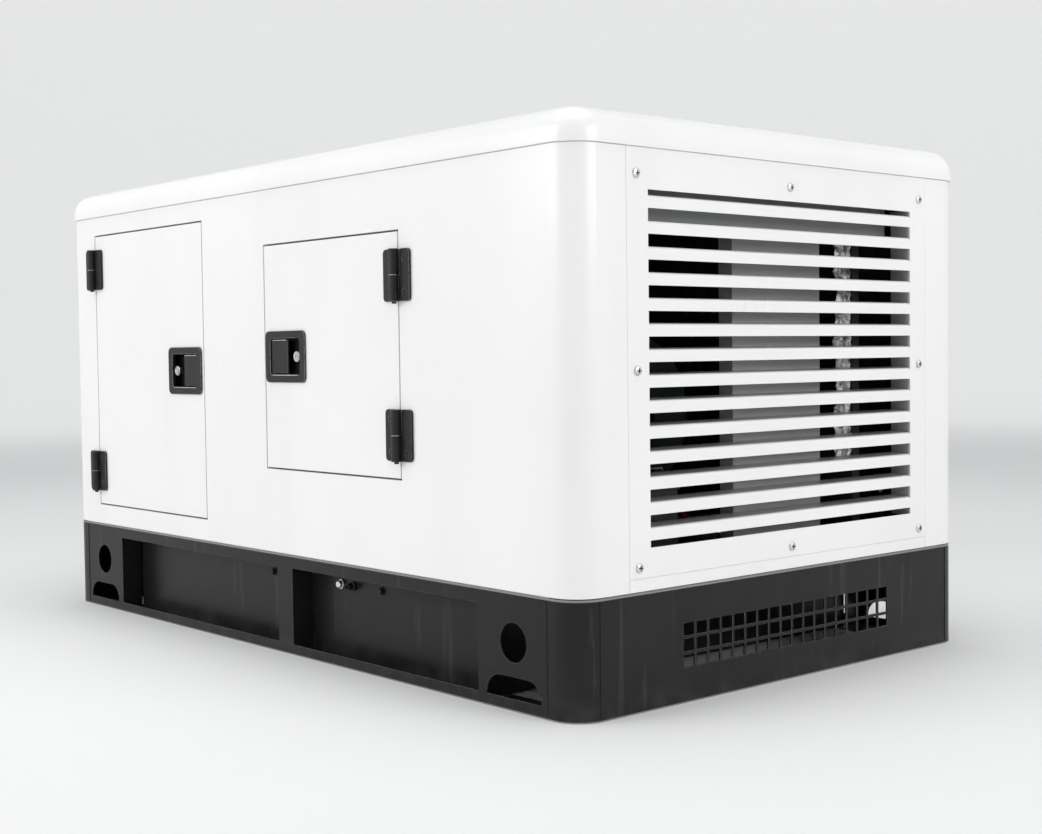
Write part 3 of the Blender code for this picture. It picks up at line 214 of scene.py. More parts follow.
class Finish:
    """The surface of one paint, metal, plastic or foam, with patterns laid in the set's own metres."""

    def __init__(self, name, colour, roughness, metallic=0.0, coat=0.0):
        self.material = bpy.data.materials.new(name)
        self.material.use_nodes = True
        self.material.diffuse_color = (*colour, 1.0)
        self.shader = self.material.node_tree.nodes["Principled BSDF"]
        self.feed(self.shader, {"Base Color": (*colour, 1.0), "Roughness": roughness,
                                "Metallic": metallic, "Coat Weight": coat, "Coat Roughness": 0.12})
        self.place = self.node("TexCoord", output="Object")

    def feed(self, node, values):
        for key, value in values.items():
            if isinstance(value, Value):
                self.material.node_tree.links.new(value.socket, node.inputs[key])
            else:
                node.inputs[key].default_value = value

    def node(self, kind, settings=None, values=None, output=0):
        made = self.material.node_tree.nodes.new("ShaderNode" + kind)
        for key, value in (settings or {}).items():
            setattr(made, key, value)
        self.feed(made, values or {})
        return Value(self, made.outputs[output])

    def noise(self, scale, detail=2.0, stretch=(1.0, 1.0, 1.0)):
        spot = self.node("Mapping", None, {"Vector": self.place, "Scale": stretch})
        return self.node("TexNoise", None, {"Vector": spot, "Scale": scale, "Detail": detail})

    def height(self):
        return self.node("SeparateXYZ", None, {0: self.place}, "Z")

    def edge(self):
        """1 on the rounded edges of a piece, 0 elsewhere."""
        return self.node("Attribute", {"attribute_name": "edge"}, None, "Fac")

    def blend(self, under, over, mask):
        """One colour over another where the mask is 1."""
        mixed = {0: mask, 6: under, 7: over}
        for key in (6, 7):
            if not isinstance(mixed[key], Value):
                mixed[key] = (*mixed[key], 1.0)
        return self.node("Mix", {"data_type": "RGBA"}, mixed, 2)

    def coat(self, **values):
        self.feed(self.shader, {key.replace("_", " "): value for key, value in values.items()})

    def relief(self, pattern, depth, strength=1.0):
        """Raise the surface by up to a depth where the pattern is 1."""
        raised = self.node("Bump", None, {"Strength": strength, "Distance": depth, "Height": pattern})
        self.feed(self.shader, {"Normal": raised})


def black_powder_coat():
    """Black powder: scuffs, hairlines, dust and worn edges, a lighter line at the foot, a painted highlight
    at the lip.
    """
    paint = Finish("black_powder_coat", (0.012, 0.012, 0.013), 0.34)
    paint.shader.inputs["Specular IOR Level"].default_value = 0.2
    cloud = paint.noise(7.0, 3.0)
    scuff = paint.noise(38.0, 4.0, (1.0, 1.0, 0.12)).between(0.63, 0.74)
    hairline = paint.noise(26.0, 3.0, (1.0, 1.0, 0.05)).between(0.60, 0.72)
    height = paint.height()
    dust = (1.0 - height.between(0.004, 0.05)) * paint.noise(30.0, 4.0).between(0.30, 0.80)
    worn = paint.edge() * paint.noise(90.0, 3.0).between(0.26, 0.50)
    # A lighter line round the skid's foot, and a painted highlight line on the side faces just under its top
    # lip.
    foot_line = 1.0 - height.between(0.0016, 0.0032)
    over_top = height.between(base_high.z, base_high.z + 0.001)
    top_highlight_line = height.between(base_high.z - 0.0042, base_high.z - 0.0026) * (1.0 - over_top)
    colour = paint.blend((0.008, 0.008, 0.009), (0.015, 0.015, 0.016), cloud)
    colour = paint.blend(colour, (0.060, 0.060, 0.060), scuff * 0.5)
    colour = paint.blend(colour, (0.050, 0.049, 0.048), hairline * 0.5)
    colour = paint.blend(colour, (0.090, 0.086, 0.080), dust * 0.22)
    colour = paint.blend(colour, (0.50, 0.50, 0.50), worn * 0.85)
    # Lighter grey on the foot line and on the painted highlight under the lip.
    colour = paint.blend(colour, (0.40, 0.40, 0.40), (foot_line + top_highlight_line) * 0.55)
    paint.coat(Base_Color=colour, Roughness=0.26 + cloud * 0.10 + scuff * 0.20 + dust * 0.06 + worn * 0.1)
    paint.relief(paint.noise(420.0, 2.0), 0.0004, 0.22)
    return paint.material


MERGE = 1e-5
CREASE = math.radians(33)


def place_piece(mesh, name, finish, body="enclosure"):
    """Make a mesh a piece that rides on a body, with its curves smooth and its edges crisp."""
    data = bpy.data.meshes.new(name)
    mesh.to_mesh(data)
    mesh.free()
    data.shade_smooth()
    data.set_sharp_from_angle(angle=CREASE)
    data.materials.append(finish)
    piece = bpy.data.objects.new(name, data)
    bpy.context.scene.collection.objects.link(piece)
    flat = piece.modifiers.new("flat faces", "WEIGHTED_NORMAL")
    flat.keep_sharp = True
    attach(piece, body)
    return piece


def sharp_edges(mesh, angle=CREASE):
    return [edge for edge in mesh.edges if edge.is_manifold and edge.calc_face_angle() > angle]


def dress(node, finish, radius, segments=2):
    """Stand for a node by its own solid, its faces rejoined and its edges rounded as on the real piece."""
    mesh = bmesh.new()
    mesh.from_mesh(frame["nodes"][node].data)
    bmesh.ops.remove_doubles(mesh, verts=mesh.verts, dist=MERGE)
    bmesh.ops.dissolve_limit(mesh, angle_limit=math.radians(0.5), verts=mesh.verts, edges=mesh.edges)
    mark = mesh.loops.layers.float.new("edge")
    if radius:
        rounded = bmesh.ops.bevel(mesh, geom=sharp_edges(mesh), offset=radius, segments=segments,
                                  profile=0.5, affect="EDGES", material=-1, clamp_overlap=True)
        for face in rounded["faces"]:
            for loop in face.loops:
                loop[mark] = 1.0
    piece = place_piece(mesh, f"{node}_finished", finish, frame["nodes"][node]["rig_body"])
    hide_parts(node)
    return piece


def block(low, high, radius=0.0, segments=2):
    """A box between two corners with rounded edges."""
    mesh = bmesh.new()
    bmesh.ops.create_cube(mesh, size=1.0)
    bmesh.ops.scale(mesh, verts=mesh.verts, vec=[b - a for a, b in zip(low, high)])
    bmesh.ops.translate(mesh, verts=mesh.verts, vec=[(a + b) / 2 for a, b in zip(low, high)])
    if radius:
        bmesh.ops.bevel(mesh, geom=mesh.edges[:], offset=radius, segments=segments, profile=0.5,
                        affect="EDGES", material=-1)
    return mesh


def gather(meshes):
    """Several loose meshes as one, for a group of like pieces."""
    whole = bmesh.new()
    for mesh in meshes:
        data = bpy.data.meshes.new("part")
        mesh.to_mesh(data)
        mesh.free()
        whole.from_mesh(data)
        bpy.data.meshes.remove(data)
    return whole


TURN_TO = {"x": Matrix.Rotation(math.pi / 2, 4, "Y"), "y": Matrix.Rotation(-math.pi / 2, 4, "X"),
           "z": Matrix.Identity(4)}
LAY = {"x": lambda a, b, along: (along, a, b), "y": lambda a, b, along: (a, along, b),
       "z": lambda a, b, along: (a, b, along)}


def lathe(axis, centre, profile, steps=24):
    """A turned piece. Its profile lists radius and place along the axis, from axis to axis or in a ring."""
    mesh = bmesh.new()
    points = [mesh.verts.new((radius, 0.0, along)) for radius, along in profile]
    edges = [mesh.edges.new(pair) for pair in zip(points, points[1:])]
    bmesh.ops.spin(mesh, geom=points + edges, cent=(0, 0, 0), axis=(0, 0, 1), angle=2 * math.pi,
                   steps=steps, use_merge=True)
    bmesh.ops.remove_doubles(mesh, verts=mesh.verts, dist=MERGE)
    bmesh.ops.transform(mesh, matrix=TURN_TO[axis], verts=mesh.verts)
    bmesh.ops.translate(mesh, verts=mesh.verts, vec=LAY[axis](centre[0], centre[1], 0.0))
    bmesh.ops.recalc_face_normals(mesh, faces=mesh.faces)
    return mesh


base_low, base_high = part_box("base_frame")
BLACK_COAT = black_powder_coat()
CORNER_SEAM_SIDE = 0.067
CORNER_SEAM_END = 0.049
SEAM_CLEAR = 0.004
BEAD_RADIUS = 0.0011


def build_corner_seams():
    """The ground weld beads where the rolled corners meet the side and end sheets."""
    beads = []
    low, high = base_low.z + SEAM_CLEAR, base_high.z - SEAM_CLEAR
    profile = [(0.0, low), (BEAD_RADIUS, low + 0.001), (BEAD_RADIUS, high - 0.001), (0.0, high)]
    for side in (-1, 1):
        for end in (-1, 1):
            on_side = (end * (base_high.x - CORNER_SEAM_SIDE), side * base_high.y)
            on_end = (end * base_high.x, side * (base_high.y - CORNER_SEAM_END))
            beads += [lathe("z", on_side, profile, 8), lathe("z", on_end, profile, 8)]
    place_piece(gather(beads), "base_corner_welds", BLACK_COAT)


dress("base_frame", BLACK_COAT, 0.0014)
build_corner_seams()

# ---------------------------------------------------------------- fuel tank
# A welded sheet tank slung inside the base, its long face seen through the windows. A plated drain
# plug, two blanking plugs and a short return stub are screwed into that face.


def plated_metal(name, colour, roughness):
    metal = Finish(name, colour, roughness, metallic=1.0)
    cloud = metal.noise(60.0, 3.0)
    brush = metal.noise(700.0, 2.0, (1.0, 1.0, 0.08))
    spots = metal.noise(240.0, 2.0).between(0.66, 0.74)
    dull = [channel * 0.62 for channel in colour]
    shade = metal.blend(metal.blend(dull, colour, cloud.between(0.2, 0.6)), (0.30, 0.28, 0.26), spots * 0.5)
    metal.coat(Base_Color=shade, Roughness=roughness * 0.7 + brush * 0.16 + spots * 0.2)
    metal.relief(brush, 0.00008, 0.4)
    return metal.material


ZINC = plated_metal("bright_zinc_plate", (0.74, 0.74, 0.71), 0.28)
tank_low, tank_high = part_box("fuel_tank")
plug_low, plug_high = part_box("tank_drain_plug")
PLUG_HEIGHT = (plug_low.z + plug_high.z) / 2
PLUG_PLACES = (-0.064, 0.293)
STUB_PLACE = 0.207
STUB = [(0.0, 0.0), (0.0085, 0.0), (0.0085, 0.004), (0.006, 0.005), (0.006, 0.016), (0.004, 0.016),
        (0.004, 0.006), (0.0, 0.006)]


def disc(axis, centre, radius, near, far, steps=24):
    """A plain disc or rod between two places along its axis."""
    return lathe(axis, centre, [(0.0, near), (radius, near), (radius, far), (0.0, far)], steps)


def fitting(axis, centre, seat, outward, outline, steps=24):
    """A turned piece on a seat. Its outline lists radius and height above the seat."""
    return lathe(axis, centre, [(radius, seat + outward * height) for radius, height in outline], steps)


def hex_head(axis, centre, seat, top, radius):
    """A hexagon bolt head on a round washer, between its seat and its top."""
    step = (top - seat) / 4
    head = lathe(axis, centre, [(0.0, seat + step), (radius, seat + step), (radius, top - step / 2),
                                (radius * 0.86, top), (0.0, top)], 6)
    return gather([disc(axis, centre, radius * 1.35, seat, seat + step, 20), head])


def build_tank_fittings():
    """Two blanking plugs and the stub of the fuel return."""
    face = tank_low.y
    plugs = [hex_head("y", (x, PLUG_HEIGHT), face, face - 0.006, 0.0065) for x in PLUG_PLACES]
    plugs.append(fitting("y", (STUB_PLACE, PLUG_HEIGHT), face, -1, STUB, 20))
    place_piece(gather(plugs), "tank_plugs", BLACK_COAT)


def build_tank_seam():
    """The folded welded seam that runs round the tank under its top sheet."""
    band = block((tank_low.x, tank_low.y - 0.0012, tank_high.z - 0.012),
                 (tank_high.x, tank_low.y + 0.001, tank_high.z - 0.007), 0.0005, 1)
    place_piece(band, "tank_seam", BLACK_COAT)


dress("fuel_tank", BLACK_COAT, 0.002)
dress("tank_drain_plug", ZINC, 0.0004)
build_tank_fittings()
build_tank_seam()

# ---------------------------------------------------------------- filler neck and cap
# The filler is a steel tube welded to the tank top, with a screwed plastic cap that has a grip bar
# and a ribbed skirt. It stands behind the left door.


def moulded_plastic(name, colour, roughness, sheen=0.0):
    plastic = Finish(name, colour, roughness, coat=sheen)
    cloud = plastic.noise(30.0, 3.0)
    grain = plastic.noise(1500.0, 1.0)
    rubbed = plastic.edge() * plastic.noise(160.0, 2.0).between(0.40, 0.62)
    lighter = [channel * 1.7 + 0.02 for channel in colour]
    shade = plastic.blend(colour, lighter, cloud * 0.18 + rubbed * 0.45)
    plastic.coat(Base_Color=shade, Roughness=roughness - 0.06 + cloud * 0.12 - rubbed * 0.10)
    plastic.relief(grain, 0.00015, 0.3)
    return plastic.material


BLACK_PLASTIC = moulded_plastic("black_moulding", (0.022, 0.022, 0.023), 0.48)
CAP_GRIPS = 24


def turned(mesh, angle, axis, centre=(0, 0, 0)):
    bmesh.ops.rotate(mesh, verts=mesh.verts, cent=centre, matrix=Matrix.Rotation(angle, 3, axis))
    return mesh


def moved(mesh, step):
    bmesh.ops.translate(mesh, verts=mesh.verts, vec=step)
    return mesh


def build_cap_grip():
    """The moulded grips round the cap's skirt."""
    low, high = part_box("fuel_filler_cap")
    centre = (low + high) / 2
    radius = (high.x - low.x) / 2
    ribs = []
    for i in range(CAP_GRIPS):
        rib = block((radius - 0.001, -0.0011, low.z + 0.002), (radius + 0.001, 0.0011, low.z + 0.026),
                    0.0006, 1)
        ribs.append(moved(turned(rib, 2 * math.pi * i / CAP_GRIPS, "Z"), (centre.x, centre.y, 0.0)))
    place_piece(gather(ribs), "fuel_cap_grips", BLACK_PLASTIC, "fuel_cap")


dress("fuel_filler_neck", BLACK_COAT, 0.0006)
dress("fuel_filler_cap", BLACK_PLASTIC, 0.0008)
build_cap_grip()

# ---------------------------------------------------------------- bearers and rubber mounts
# Folded channels cross the base, and bonded rubber mounts on them carry the feet of the engine and
# the alternator. Each is held by one plated bolt through its foot.

RUBBER = moulded_plastic("black_rubber", (0.018, 0.018, 0.018), 0.74)
MOUNTS = [f"{machine}_mount_{side}_side" for machine in ("engine", "alternator") for side in ("door", "rear")]
FOOT_HEIGHT = 0.012
FOOT_GAP = 0.0003


def build_mount_bolts():
    bolts = []
    for mount in MOUNTS:
        low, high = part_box(mount)
        seat = high.z + FOOT_GAP + FOOT_HEIGHT
        bolts.append(hex_head("z", ((low.x + high.x) / 2, (low.y + high.y) / 2), seat, seat + 0.012, 0.010))
    place_piece(gather(bolts), "mount_bolts", ZINC)


dress("engine_bearer", BLACK_COAT, 0.001)
dress("alternator_bearer", BLACK_COAT, 0.001)
for mount_name in MOUNTS:
    dress(mount_name, RUBBER, 0.001)
build_mount_bolts()

# ---------------------------------------------------------------- engine
# A small cast iron diesel: crankcase with core plugs and a side cover, a head under a pressed rocker
# cover, a fuel pump with three injector pipes, and a dipstick. The castings carry dark enamel.


def cast_metal(name, colour, roughness, metallic=0.0):
    """A sand casting under enamel, or bare."""
    metal = Finish(name, colour, roughness, metallic=metallic, coat=0.0 if metallic else 0.15)
    cloud = metal.noise(18.0, 3.0)
    grain = metal.noise(380.0, 3.0)
    oil = metal.noise(9.0, 4.0).between(0.55, 0.70)
    worn = metal.edge() * metal.noise(140.0, 3.0).between(0.44, 0.60)
    dark = [channel * 0.55 for channel in colour]
    shade = metal.blend(metal.blend(dark, colour, cloud.between(0.15, 0.6)), (0.25, 0.24, 0.23), worn * 0.6)
    metal.coat(Base_Color=shade, Roughness=roughness + cloud * 0.12 - oil * 0.20)
    metal.relief(grain, 0.0006, 0.5)
    return metal.material


def tube(points, radius, steps=3):
    """A round pipe or cable along a smooth line through its end points."""
    line = bpy.data.curves.new("line", "CURVE")
    line.dimensions = "3D"
    line.bevel_depth = radius
    line.bevel_resolution = steps
    line.use_fill_caps = True
    spline = line.splines.new("NURBS")
    spline.points.add(len(points) - 1)
    for point, place in zip(spline.points, points):
        point.co = (*place, 1.0)
    spline.order_u = min(4, len(points))
    spline.use_endpoint_u = True
    spline.resolution_u = 8
    holder = bpy.data.objects.new("line", line)
    bpy.context.scene.collection.objects.link(holder)
    data = bpy.data.meshes.new_from_object(holder.evaluated_get(bpy.context.evaluated_depsgraph_get()))
    mesh = bmesh.new()
    mesh.from_mesh(data)
    bpy.data.objects.remove(holder)
    bpy.data.curves.remove(line)
    bpy.data.meshes.remove(data)
    bmesh.ops.remove_doubles(mesh, verts=mesh.verts, dist=MERGE)
    bmesh.ops.recalc_face_normals(mesh, faces=mesh.faces)
    return mesh


ENGINE_ENAMEL = cast_metal("engine_enamel", (0.075, 0.10, 0.115), 0.46)
CAST_IRON = cast_metal("cast_iron", (0.15, 0.145, 0.14), 0.55, 0.6)
head_low, head_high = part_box("cylinder_head")
block_low, block_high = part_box("engine_block")
CRANKCASE_SIDE = -0.14
HEAD_DECK = head_high.z - 0.05
CYLINDERS = [head_low.x + 0.10, head_low.x + 0.24, head_low.x + 0.38]
CORE_PLUG = [(0.0, -0.002), (0.021, -0.002), (0.021, 0.002), (0.018, 0.003), (0.016, 0.001), (0.0, 0.0005)]
OIL_CAP = [(0.0, -0.001), (0.022, -0.001), (0.022, 0.012), (0.027, 0.014), (0.027, 0.026), (0.022, 0.03),
           (0.0, 0.03)]
COVER_BOLT_INSET = 0.012
RING_RADIUS = 0.011


def build_core_plugs():
    plugs = [fitting("y", (x, block_high.z - 0.045), CRANKCASE_SIDE, -1, CORE_PLUG) for x in CYLINDERS]
    place_piece(gather(plugs), "core_plugs", ZINC)


def build_side_cover():
    """The pressed cover over the pushrod chamber, with its two rows of small bolts."""
    low = (block_low.x + 0.04, CRANKCASE_SIDE - 0.008, 0.375)
    high = (CYLINDERS[1], CRANKCASE_SIDE + 0.001, 0.475)
    place_piece(block(low, high, 0.004), "engine_side_cover", ENGINE_ENAMEL)
    bolts = []
    for x in (low[0] + COVER_BOLT_INSET, (low[0] + high[0]) / 2, high[0] - COVER_BOLT_INSET):
        for z in (low[2] + COVER_BOLT_INSET, high[2] - COVER_BOLT_INSET):
            bolts.append(hex_head("y", (x, z), low[1], low[1] - 0.006, 0.0055))
    place_piece(gather(bolts), "side_cover_bolts", ZINC)


def build_head_fittings():
    """Rocker cover nuts, the oil filler cap and the head bolts along the door side."""
    top = head_high.z
    bolts = [hex_head("z", (x, 0.0), top, top + 0.008, 0.007) for x in (CYLINDERS[0], CYLINDERS[2])]
    bolts += [hex_head("z", (x + shift, -0.12), HEAD_DECK, HEAD_DECK + 0.009, 0.008)
              for x in CYLINDERS for shift in (-0.045, 0.045)]
    place_piece(gather(bolts), "head_bolts", ZINC)
    cap = fitting("z", (CYLINDERS[1], -0.045), top, 1, OIL_CAP, 12)
    place_piece(cap, "oil_filler_cap", BLACK_PLASTIC)


def build_fuel_pump():
    """The injection pump on the crankcase and the steel pipes from it up to the head."""
    low = Vector((CYLINDERS[1] - 0.045, CRANKCASE_SIDE - 0.055, 0.492))
    high = Vector((CYLINDERS[1] + 0.045, CRANKCASE_SIDE, 0.552))
    rise = head_low.z + 0.04
    pump = [block(low, high, 0.005)]
    pipes = []
    for i, x in enumerate(CYLINDERS):
        start, y = low.x + 0.018 + i * 0.027, low.y + 0.02
        pump.append(disc("z", (start, y), 0.007, high.z - 0.002, high.z + 0.016, 6))
        pump.append(disc("y", (x, rise + 0.035), 0.008, CRANKCASE_SIDE + 0.002, CRANKCASE_SIDE - 0.012, 6))
        pipes.append(tube([(start, y, high.z + 0.014), (start, y, rise - 0.01),
                           (start, y - 0.02, rise + 0.02), (x, y - 0.015, rise + 0.03),
                           (x, y + 0.02, rise + 0.045), (x, CRANKCASE_SIDE + 0.004, rise + 0.035)], 0.003))
    place_piece(gather(pump), "injection_pump", CAST_IRON)
    place_piece(gather(pipes), "injector_pipes", ZINC)


def build_dipstick():
    """The dipstick's tube on the crankcase, and the red pull ring above it."""
    x, y = block_high.x - 0.20, CRANKCASE_SIDE - 0.028
    stick = tube([(x, CRANKCASE_SIDE + 0.004, 0.40), (x, CRANKCASE_SIDE - 0.02, 0.42), (x, y, 0.50),
                  (x, y, 0.60)], 0.0035)
    place_piece(stick, "dipstick_tube", ZINC)
    ring = bmesh.new()
    bmesh.ops.create_circle(ring, segments=10, radius=0.0028)
    moved(ring, (RING_RADIUS, 0, 0))
    turned(ring, math.pi / 2, "X", (RING_RADIUS, 0, 0))
    bmesh.ops.spin(ring, geom=ring.edges[:] + ring.verts[:], cent=(0, 0, 0), axis=(0, 0, 1),
                   angle=2 * math.pi, steps=24, use_merge=True)
    bmesh.ops.remove_doubles(ring, verts=ring.verts, dist=MERGE)
    bmesh.ops.recalc_face_normals(ring, faces=ring.faces)
    moved(turned(ring, math.pi / 2, "X"), (x, y, 0.613))
    place_piece(ring, "dipstick_ring", RED_PLASTIC)


RED_PLASTIC = moulded_plastic("red_moulding", (0.55, 0.018, 0.014), 0.32, 0.3)
WHITE_ENAMEL = moulded_plastic("white_enamel", (0.78, 0.78, 0.76), 0.30, 0.3)
dress("engine_block", ENGINE_ENAMEL, 0.005)
dress("cylinder_head", ENGINE_ENAMEL, 0.003)
dress("oil_filter", WHITE_ENAMEL, 0.0015)
dress("starter_motor", BLACK_COAT, 0.0015)
dress("air_cleaner", BLACK_PLASTIC, 0.002)
build_core_plugs()
build_side_cover()
build_head_fittings()
build_fuel_pump()
build_dipstick()


def build_air_duct():
    """The band clips on the air cleaner and the rubber elbow from it to the head."""
    low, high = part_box("air_cleaner")
    y, z = -0.25, 0.66
    bands = [disc("x", (y, z), 0.0712, x, x + 0.012, 40) for x in (low.x + 0.03, high.x - 0.085)]
    place_piece(gather(bands), "air_cleaner_bands", ZINC)
    elbow = tube([(high.x - 0.01, y, z), (high.x + 0.05, y, z), (high.x + 0.09, y + 0.02, z - 0.005),
                  (high.x + 0.10, -0.17, 0.645), (high.x + 0.10, CRANKCASE_SIDE + 0.004, 0.635)], 0.026, 6)
    place_piece(elbow, "air_hose", RUBBER)


build_air_duct()

# ---------------------------------------------------------------- fan drive and radiator
# A six bladed plastic fan turns in a sheet shroud, driven by a vee belt from the crank pulley. The
# radiator is brazed from flat tubes and folded fins, and rubber hoses with band clips join it on.

ALUMINIUM = plated_metal("brazed_aluminium", (0.60, 0.61, 0.62), 0.40)
radiator_low, radiator_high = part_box("radiator")
CORE_HALF_WIDTH = 0.25
CORE_BOTTOM = 0.24
CORE_TOP = 0.65
CORE_RECESS = 0.012
TUBE_PITCH = 0.0102
TUBE_HEIGHT = 0.0022
FIN_PITCH = 0.0065
HOSE_RADIUS = 0.018
CLIP_RADIUS = 0.0195


def build_radiator_core():
    """Flat tubes across both faces of the core, with a folded fin strip between each two."""
    rows = int((CORE_TOP - CORE_BOTTOM) / TUBE_PITCH)
    folds = int(2 * CORE_HALF_WIDTH / FIN_PITCH)
    tubes = []
    fins = bmesh.new()
    for near, far in ((radiator_low.x + 0.003, radiator_low.x + CORE_RECESS + 0.001),
                      (radiator_high.x - CORE_RECESS - 0.001, radiator_high.x - 0.003)):
        for i in range(rows + 1):
            z = CORE_BOTTOM + 0.001 + i * TUBE_PITCH
            low, high = (near, -CORE_HALF_WIDTH, z), (far, CORE_HALF_WIDTH, z + TUBE_HEIGHT)
            tubes.append(block(low, high, 0.0009, 1))
            if i == rows:
                continue
            line = []
            for k in range(folds + 1):
                lift = 0.0024 if k % 2 else TUBE_PITCH - 0.0002
                line.append(fins.verts.new((near + 0.001, -CORE_HALF_WIDTH + k * FIN_PITCH, z + lift)))
            edges = [fins.edges.new(pair) for pair in zip(line, line[1:])]
            grown = bmesh.ops.extrude_edge_only(fins, edges=edges)["geom"]
            ends = [item for item in grown if isinstance(item, bmesh.types.BMVert)]
            bmesh.ops.translate(fins, verts=ends, vec=(far - near - 0.001, 0, 0))
    bmesh.ops.solidify(fins, geom=fins.faces[:], thickness=0.0004)
    place_piece(gather(tubes), "radiator_tubes", ALUMINIUM)
    place_piece(fins, "radiator_fins", ALUMINIUM)


def build_hoses():
    """The top and bottom hose, each with a band clip at both ends."""
    back, top = radiator_high.x, radiator_high.z
    routes = (
        [(back - 0.02, 0.20, top - 0.004), (back - 0.02, 0.20, top + 0.03), (back + 0.03, 0.19, top + 0.055),
         (-0.53, 0.13, top + 0.05), (-0.50, 0.09, 0.71), (-0.475, 0.08, HEAD_DECK - 0.004)],
        [(back + 0.002, 0.235, 0.225), (back + 0.05, 0.235, 0.225), (-0.55, 0.235, 0.24),
         (-0.49, 0.21, 0.30), (-0.46, 0.17, 0.36), (-0.46, 0.138, 0.38)],
    )
    clips = []
    hoses = []
    for route in routes:
        hoses.append(tube(route, HOSE_RADIUS, 6))
        for spot, ahead in ((Vector(route[0]), Vector(route[1])), (Vector(route[-1]), Vector(route[-2]))):
            clip = disc("z", (0, 0), CLIP_RADIUS, -0.006, 0.006, 28)
            turn = (ahead - spot).to_track_quat("Z", "Y").to_matrix()
            bmesh.ops.rotate(clip, verts=clip.verts, cent=(0, 0, 0), matrix=turn)
            clips.append(moved(clip, spot + (ahead - spot).normalized() * 0.016))
    place_piece(gather(hoses), "coolant_hoses", RUBBER)
    place_piece(gather(clips), "hose_clips", ZINC)


def build_shroud_screws():
    seat = radiator_high.x + 0.0034
    screws = [hex_head("x", (y, z), seat, seat + 0.0066, 0.006)
              for y in (-0.258, 0.258) for z in (0.23, 0.44, 0.66)]
    place_piece(gather(screws), "shroud_screws", ZINC)


dress("cooling_fan", BLACK_PLASTIC, 0.0006)
dress("crank_pulley", CAST_IRON, 0.001)
dress("fan_belt", RUBBER, 0.0008)
dress("radiator", ALUMINIUM, 0.002)
dress("radiator_cap", ZINC, 0.0006)
dress("fan_shroud", BLACK_COAT, 0.0008)
build_radiator_core()
build_hoses()
build_shroud_screws()

# ---------------------------------------------------------------- flywheel housing and alternator
# The alternator bolts to the flywheel housing. Its frame is rolled steel with cooling slots at the
# drive end, under a terminal box with a screwed lid.

alternator_low, alternator_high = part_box("alternator")
housing_low, housing_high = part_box("flywheel_housing")
SHAFT_HEIGHT = (housing_low.z + housing_high.z) / 2
BELL_TOP = SHAFT_HEIGHT + 0.17
FRAME_TOP = SHAFT_HEIGHT + 0.16


def around_shaft(mesh, turn):
    return turned(mesh, turn, "X", (0, 0, SHAFT_HEIGHT))


def build_housing_bolts():
    seat = housing_high.x - 0.0005
    bolts = []
    for i in range(12):
        bolt = hex_head("x", (0.0, housing_high.z - 0.020), seat, seat + 0.0095, 0.007)
        bolts.append(around_shaft(bolt, 2 * math.pi * (i + 0.5) / 12))
    place_piece(gather(bolts), "housing_bolts", ZINC)


def build_alternator_ribs():
    """Raised hoods over the cooling slots at the drive end, and the bars along the frame."""
    near, far = alternator_low.x, alternator_high.x
    ribs = []
    for i in range(18):
        turn = 2 * math.pi * i / 18
        if math.cos(turn) > 0.75 or math.cos(turn) < -0.7:
            continue
        hood = block((near + 0.014, -0.008, BELL_TOP - 0.002),
                     (near + 0.042, 0.008, BELL_TOP + 0.005), 0.0025)
        bar = block((near + 0.075, -0.004, FRAME_TOP - 0.002), (far - 0.075, 0.004, FRAME_TOP + 0.005), 0.002)
        ribs += [around_shaft(hood, turn), around_shaft(bar, turn)]
    place_piece(gather(ribs), "alternator_ribs", ENGINE_ENAMEL)


def build_terminal_box_lid():
    top = alternator_high.z
    lid = block((0.176, -0.094, top - 0.004), (0.384, 0.094, top + 0.006), 0.002)
    place_piece(lid, "terminal_box_lid", ENGINE_ENAMEL)
    screws = [hex_head("z", (x, y), top + 0.006, top + 0.011, 0.005)
              for x in (0.19, 0.37) for y in (-0.08, 0.08)]
    place_piece(gather(screws), "terminal_box_screws", ZINC)


dress("flywheel_housing", CAST_IRON, 0.002)
dress("alternator", ENGINE_ENAMEL, 0.002)
build_housing_bolts()
build_alternator_ribs()
build_terminal_box_lid()

# ---------------------------------------------------------------- exhaust
# A cast manifold leads up to a rolled steel silencer under the roof, whose tail pipe ends behind the
# outlet louvres. Heat has browned the steel, and two saddle clamps hold the body up.


def heated_steel():
    steel = Finish("heat_dulled_steel", (0.33, 0.30, 0.27), 0.5, metallic=0.85)
    cloud = steel.noise(14.0, 4.0)
    rust = steel.noise(45.0, 4.0).between(0.52, 0.70)
    shade = steel.blend((0.24, 0.22, 0.20), (0.42, 0.39, 0.35), cloud)
    shade = steel.blend(shade, (0.20, 0.085, 0.035), rust * 0.7)
    steel.coat(Base_Color=shade, Metallic=0.9 - rust * 0.7, Roughness=0.40 + cloud * 0.2 + rust * 0.25)
    steel.relief(rust * 0.6 + steel.noise(500.0, 2.0) * 0.4, 0.0005, 0.4)
    return steel.material


EXHAUST_STEEL = heated_steel()
muffler_low, muffler_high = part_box("muffler")
MUFFLER_RADIUS = 0.06
MUFFLER_SPOT = ((muffler_low.y + muffler_high.y) / 2, muffler_high.z - MUFFLER_RADIUS)
CLAMP_WIDTH = 0.02
CLAMP_TOP = 0.8985


def build_saddle_clamps():
    """A band round the body and two hangers up to the roof, at each of two places."""
    clamps = []
    for x in (-0.40, -0.13):
        far = x + CLAMP_WIDTH
        clamps.append(disc("x", MUFFLER_SPOT, MUFFLER_RADIUS + 0.0015, x, far, 40))
        for side in (-1, 1):
            y = MUFFLER_SPOT[0] + side * (MUFFLER_RADIUS - 0.004)
            clamps.append(block((x, y - 0.004, MUFFLER_SPOT[1]), (far, y + 0.004, CLAMP_TOP), 0.001, 1))
    place_piece(gather(clamps), "muffler_straps", ZINC)


dress("exhaust_manifold", CAST_IRON, 0.002)
dress("muffler", EXHAUST_STEEL, 0.001)
build_saddle_clamps()
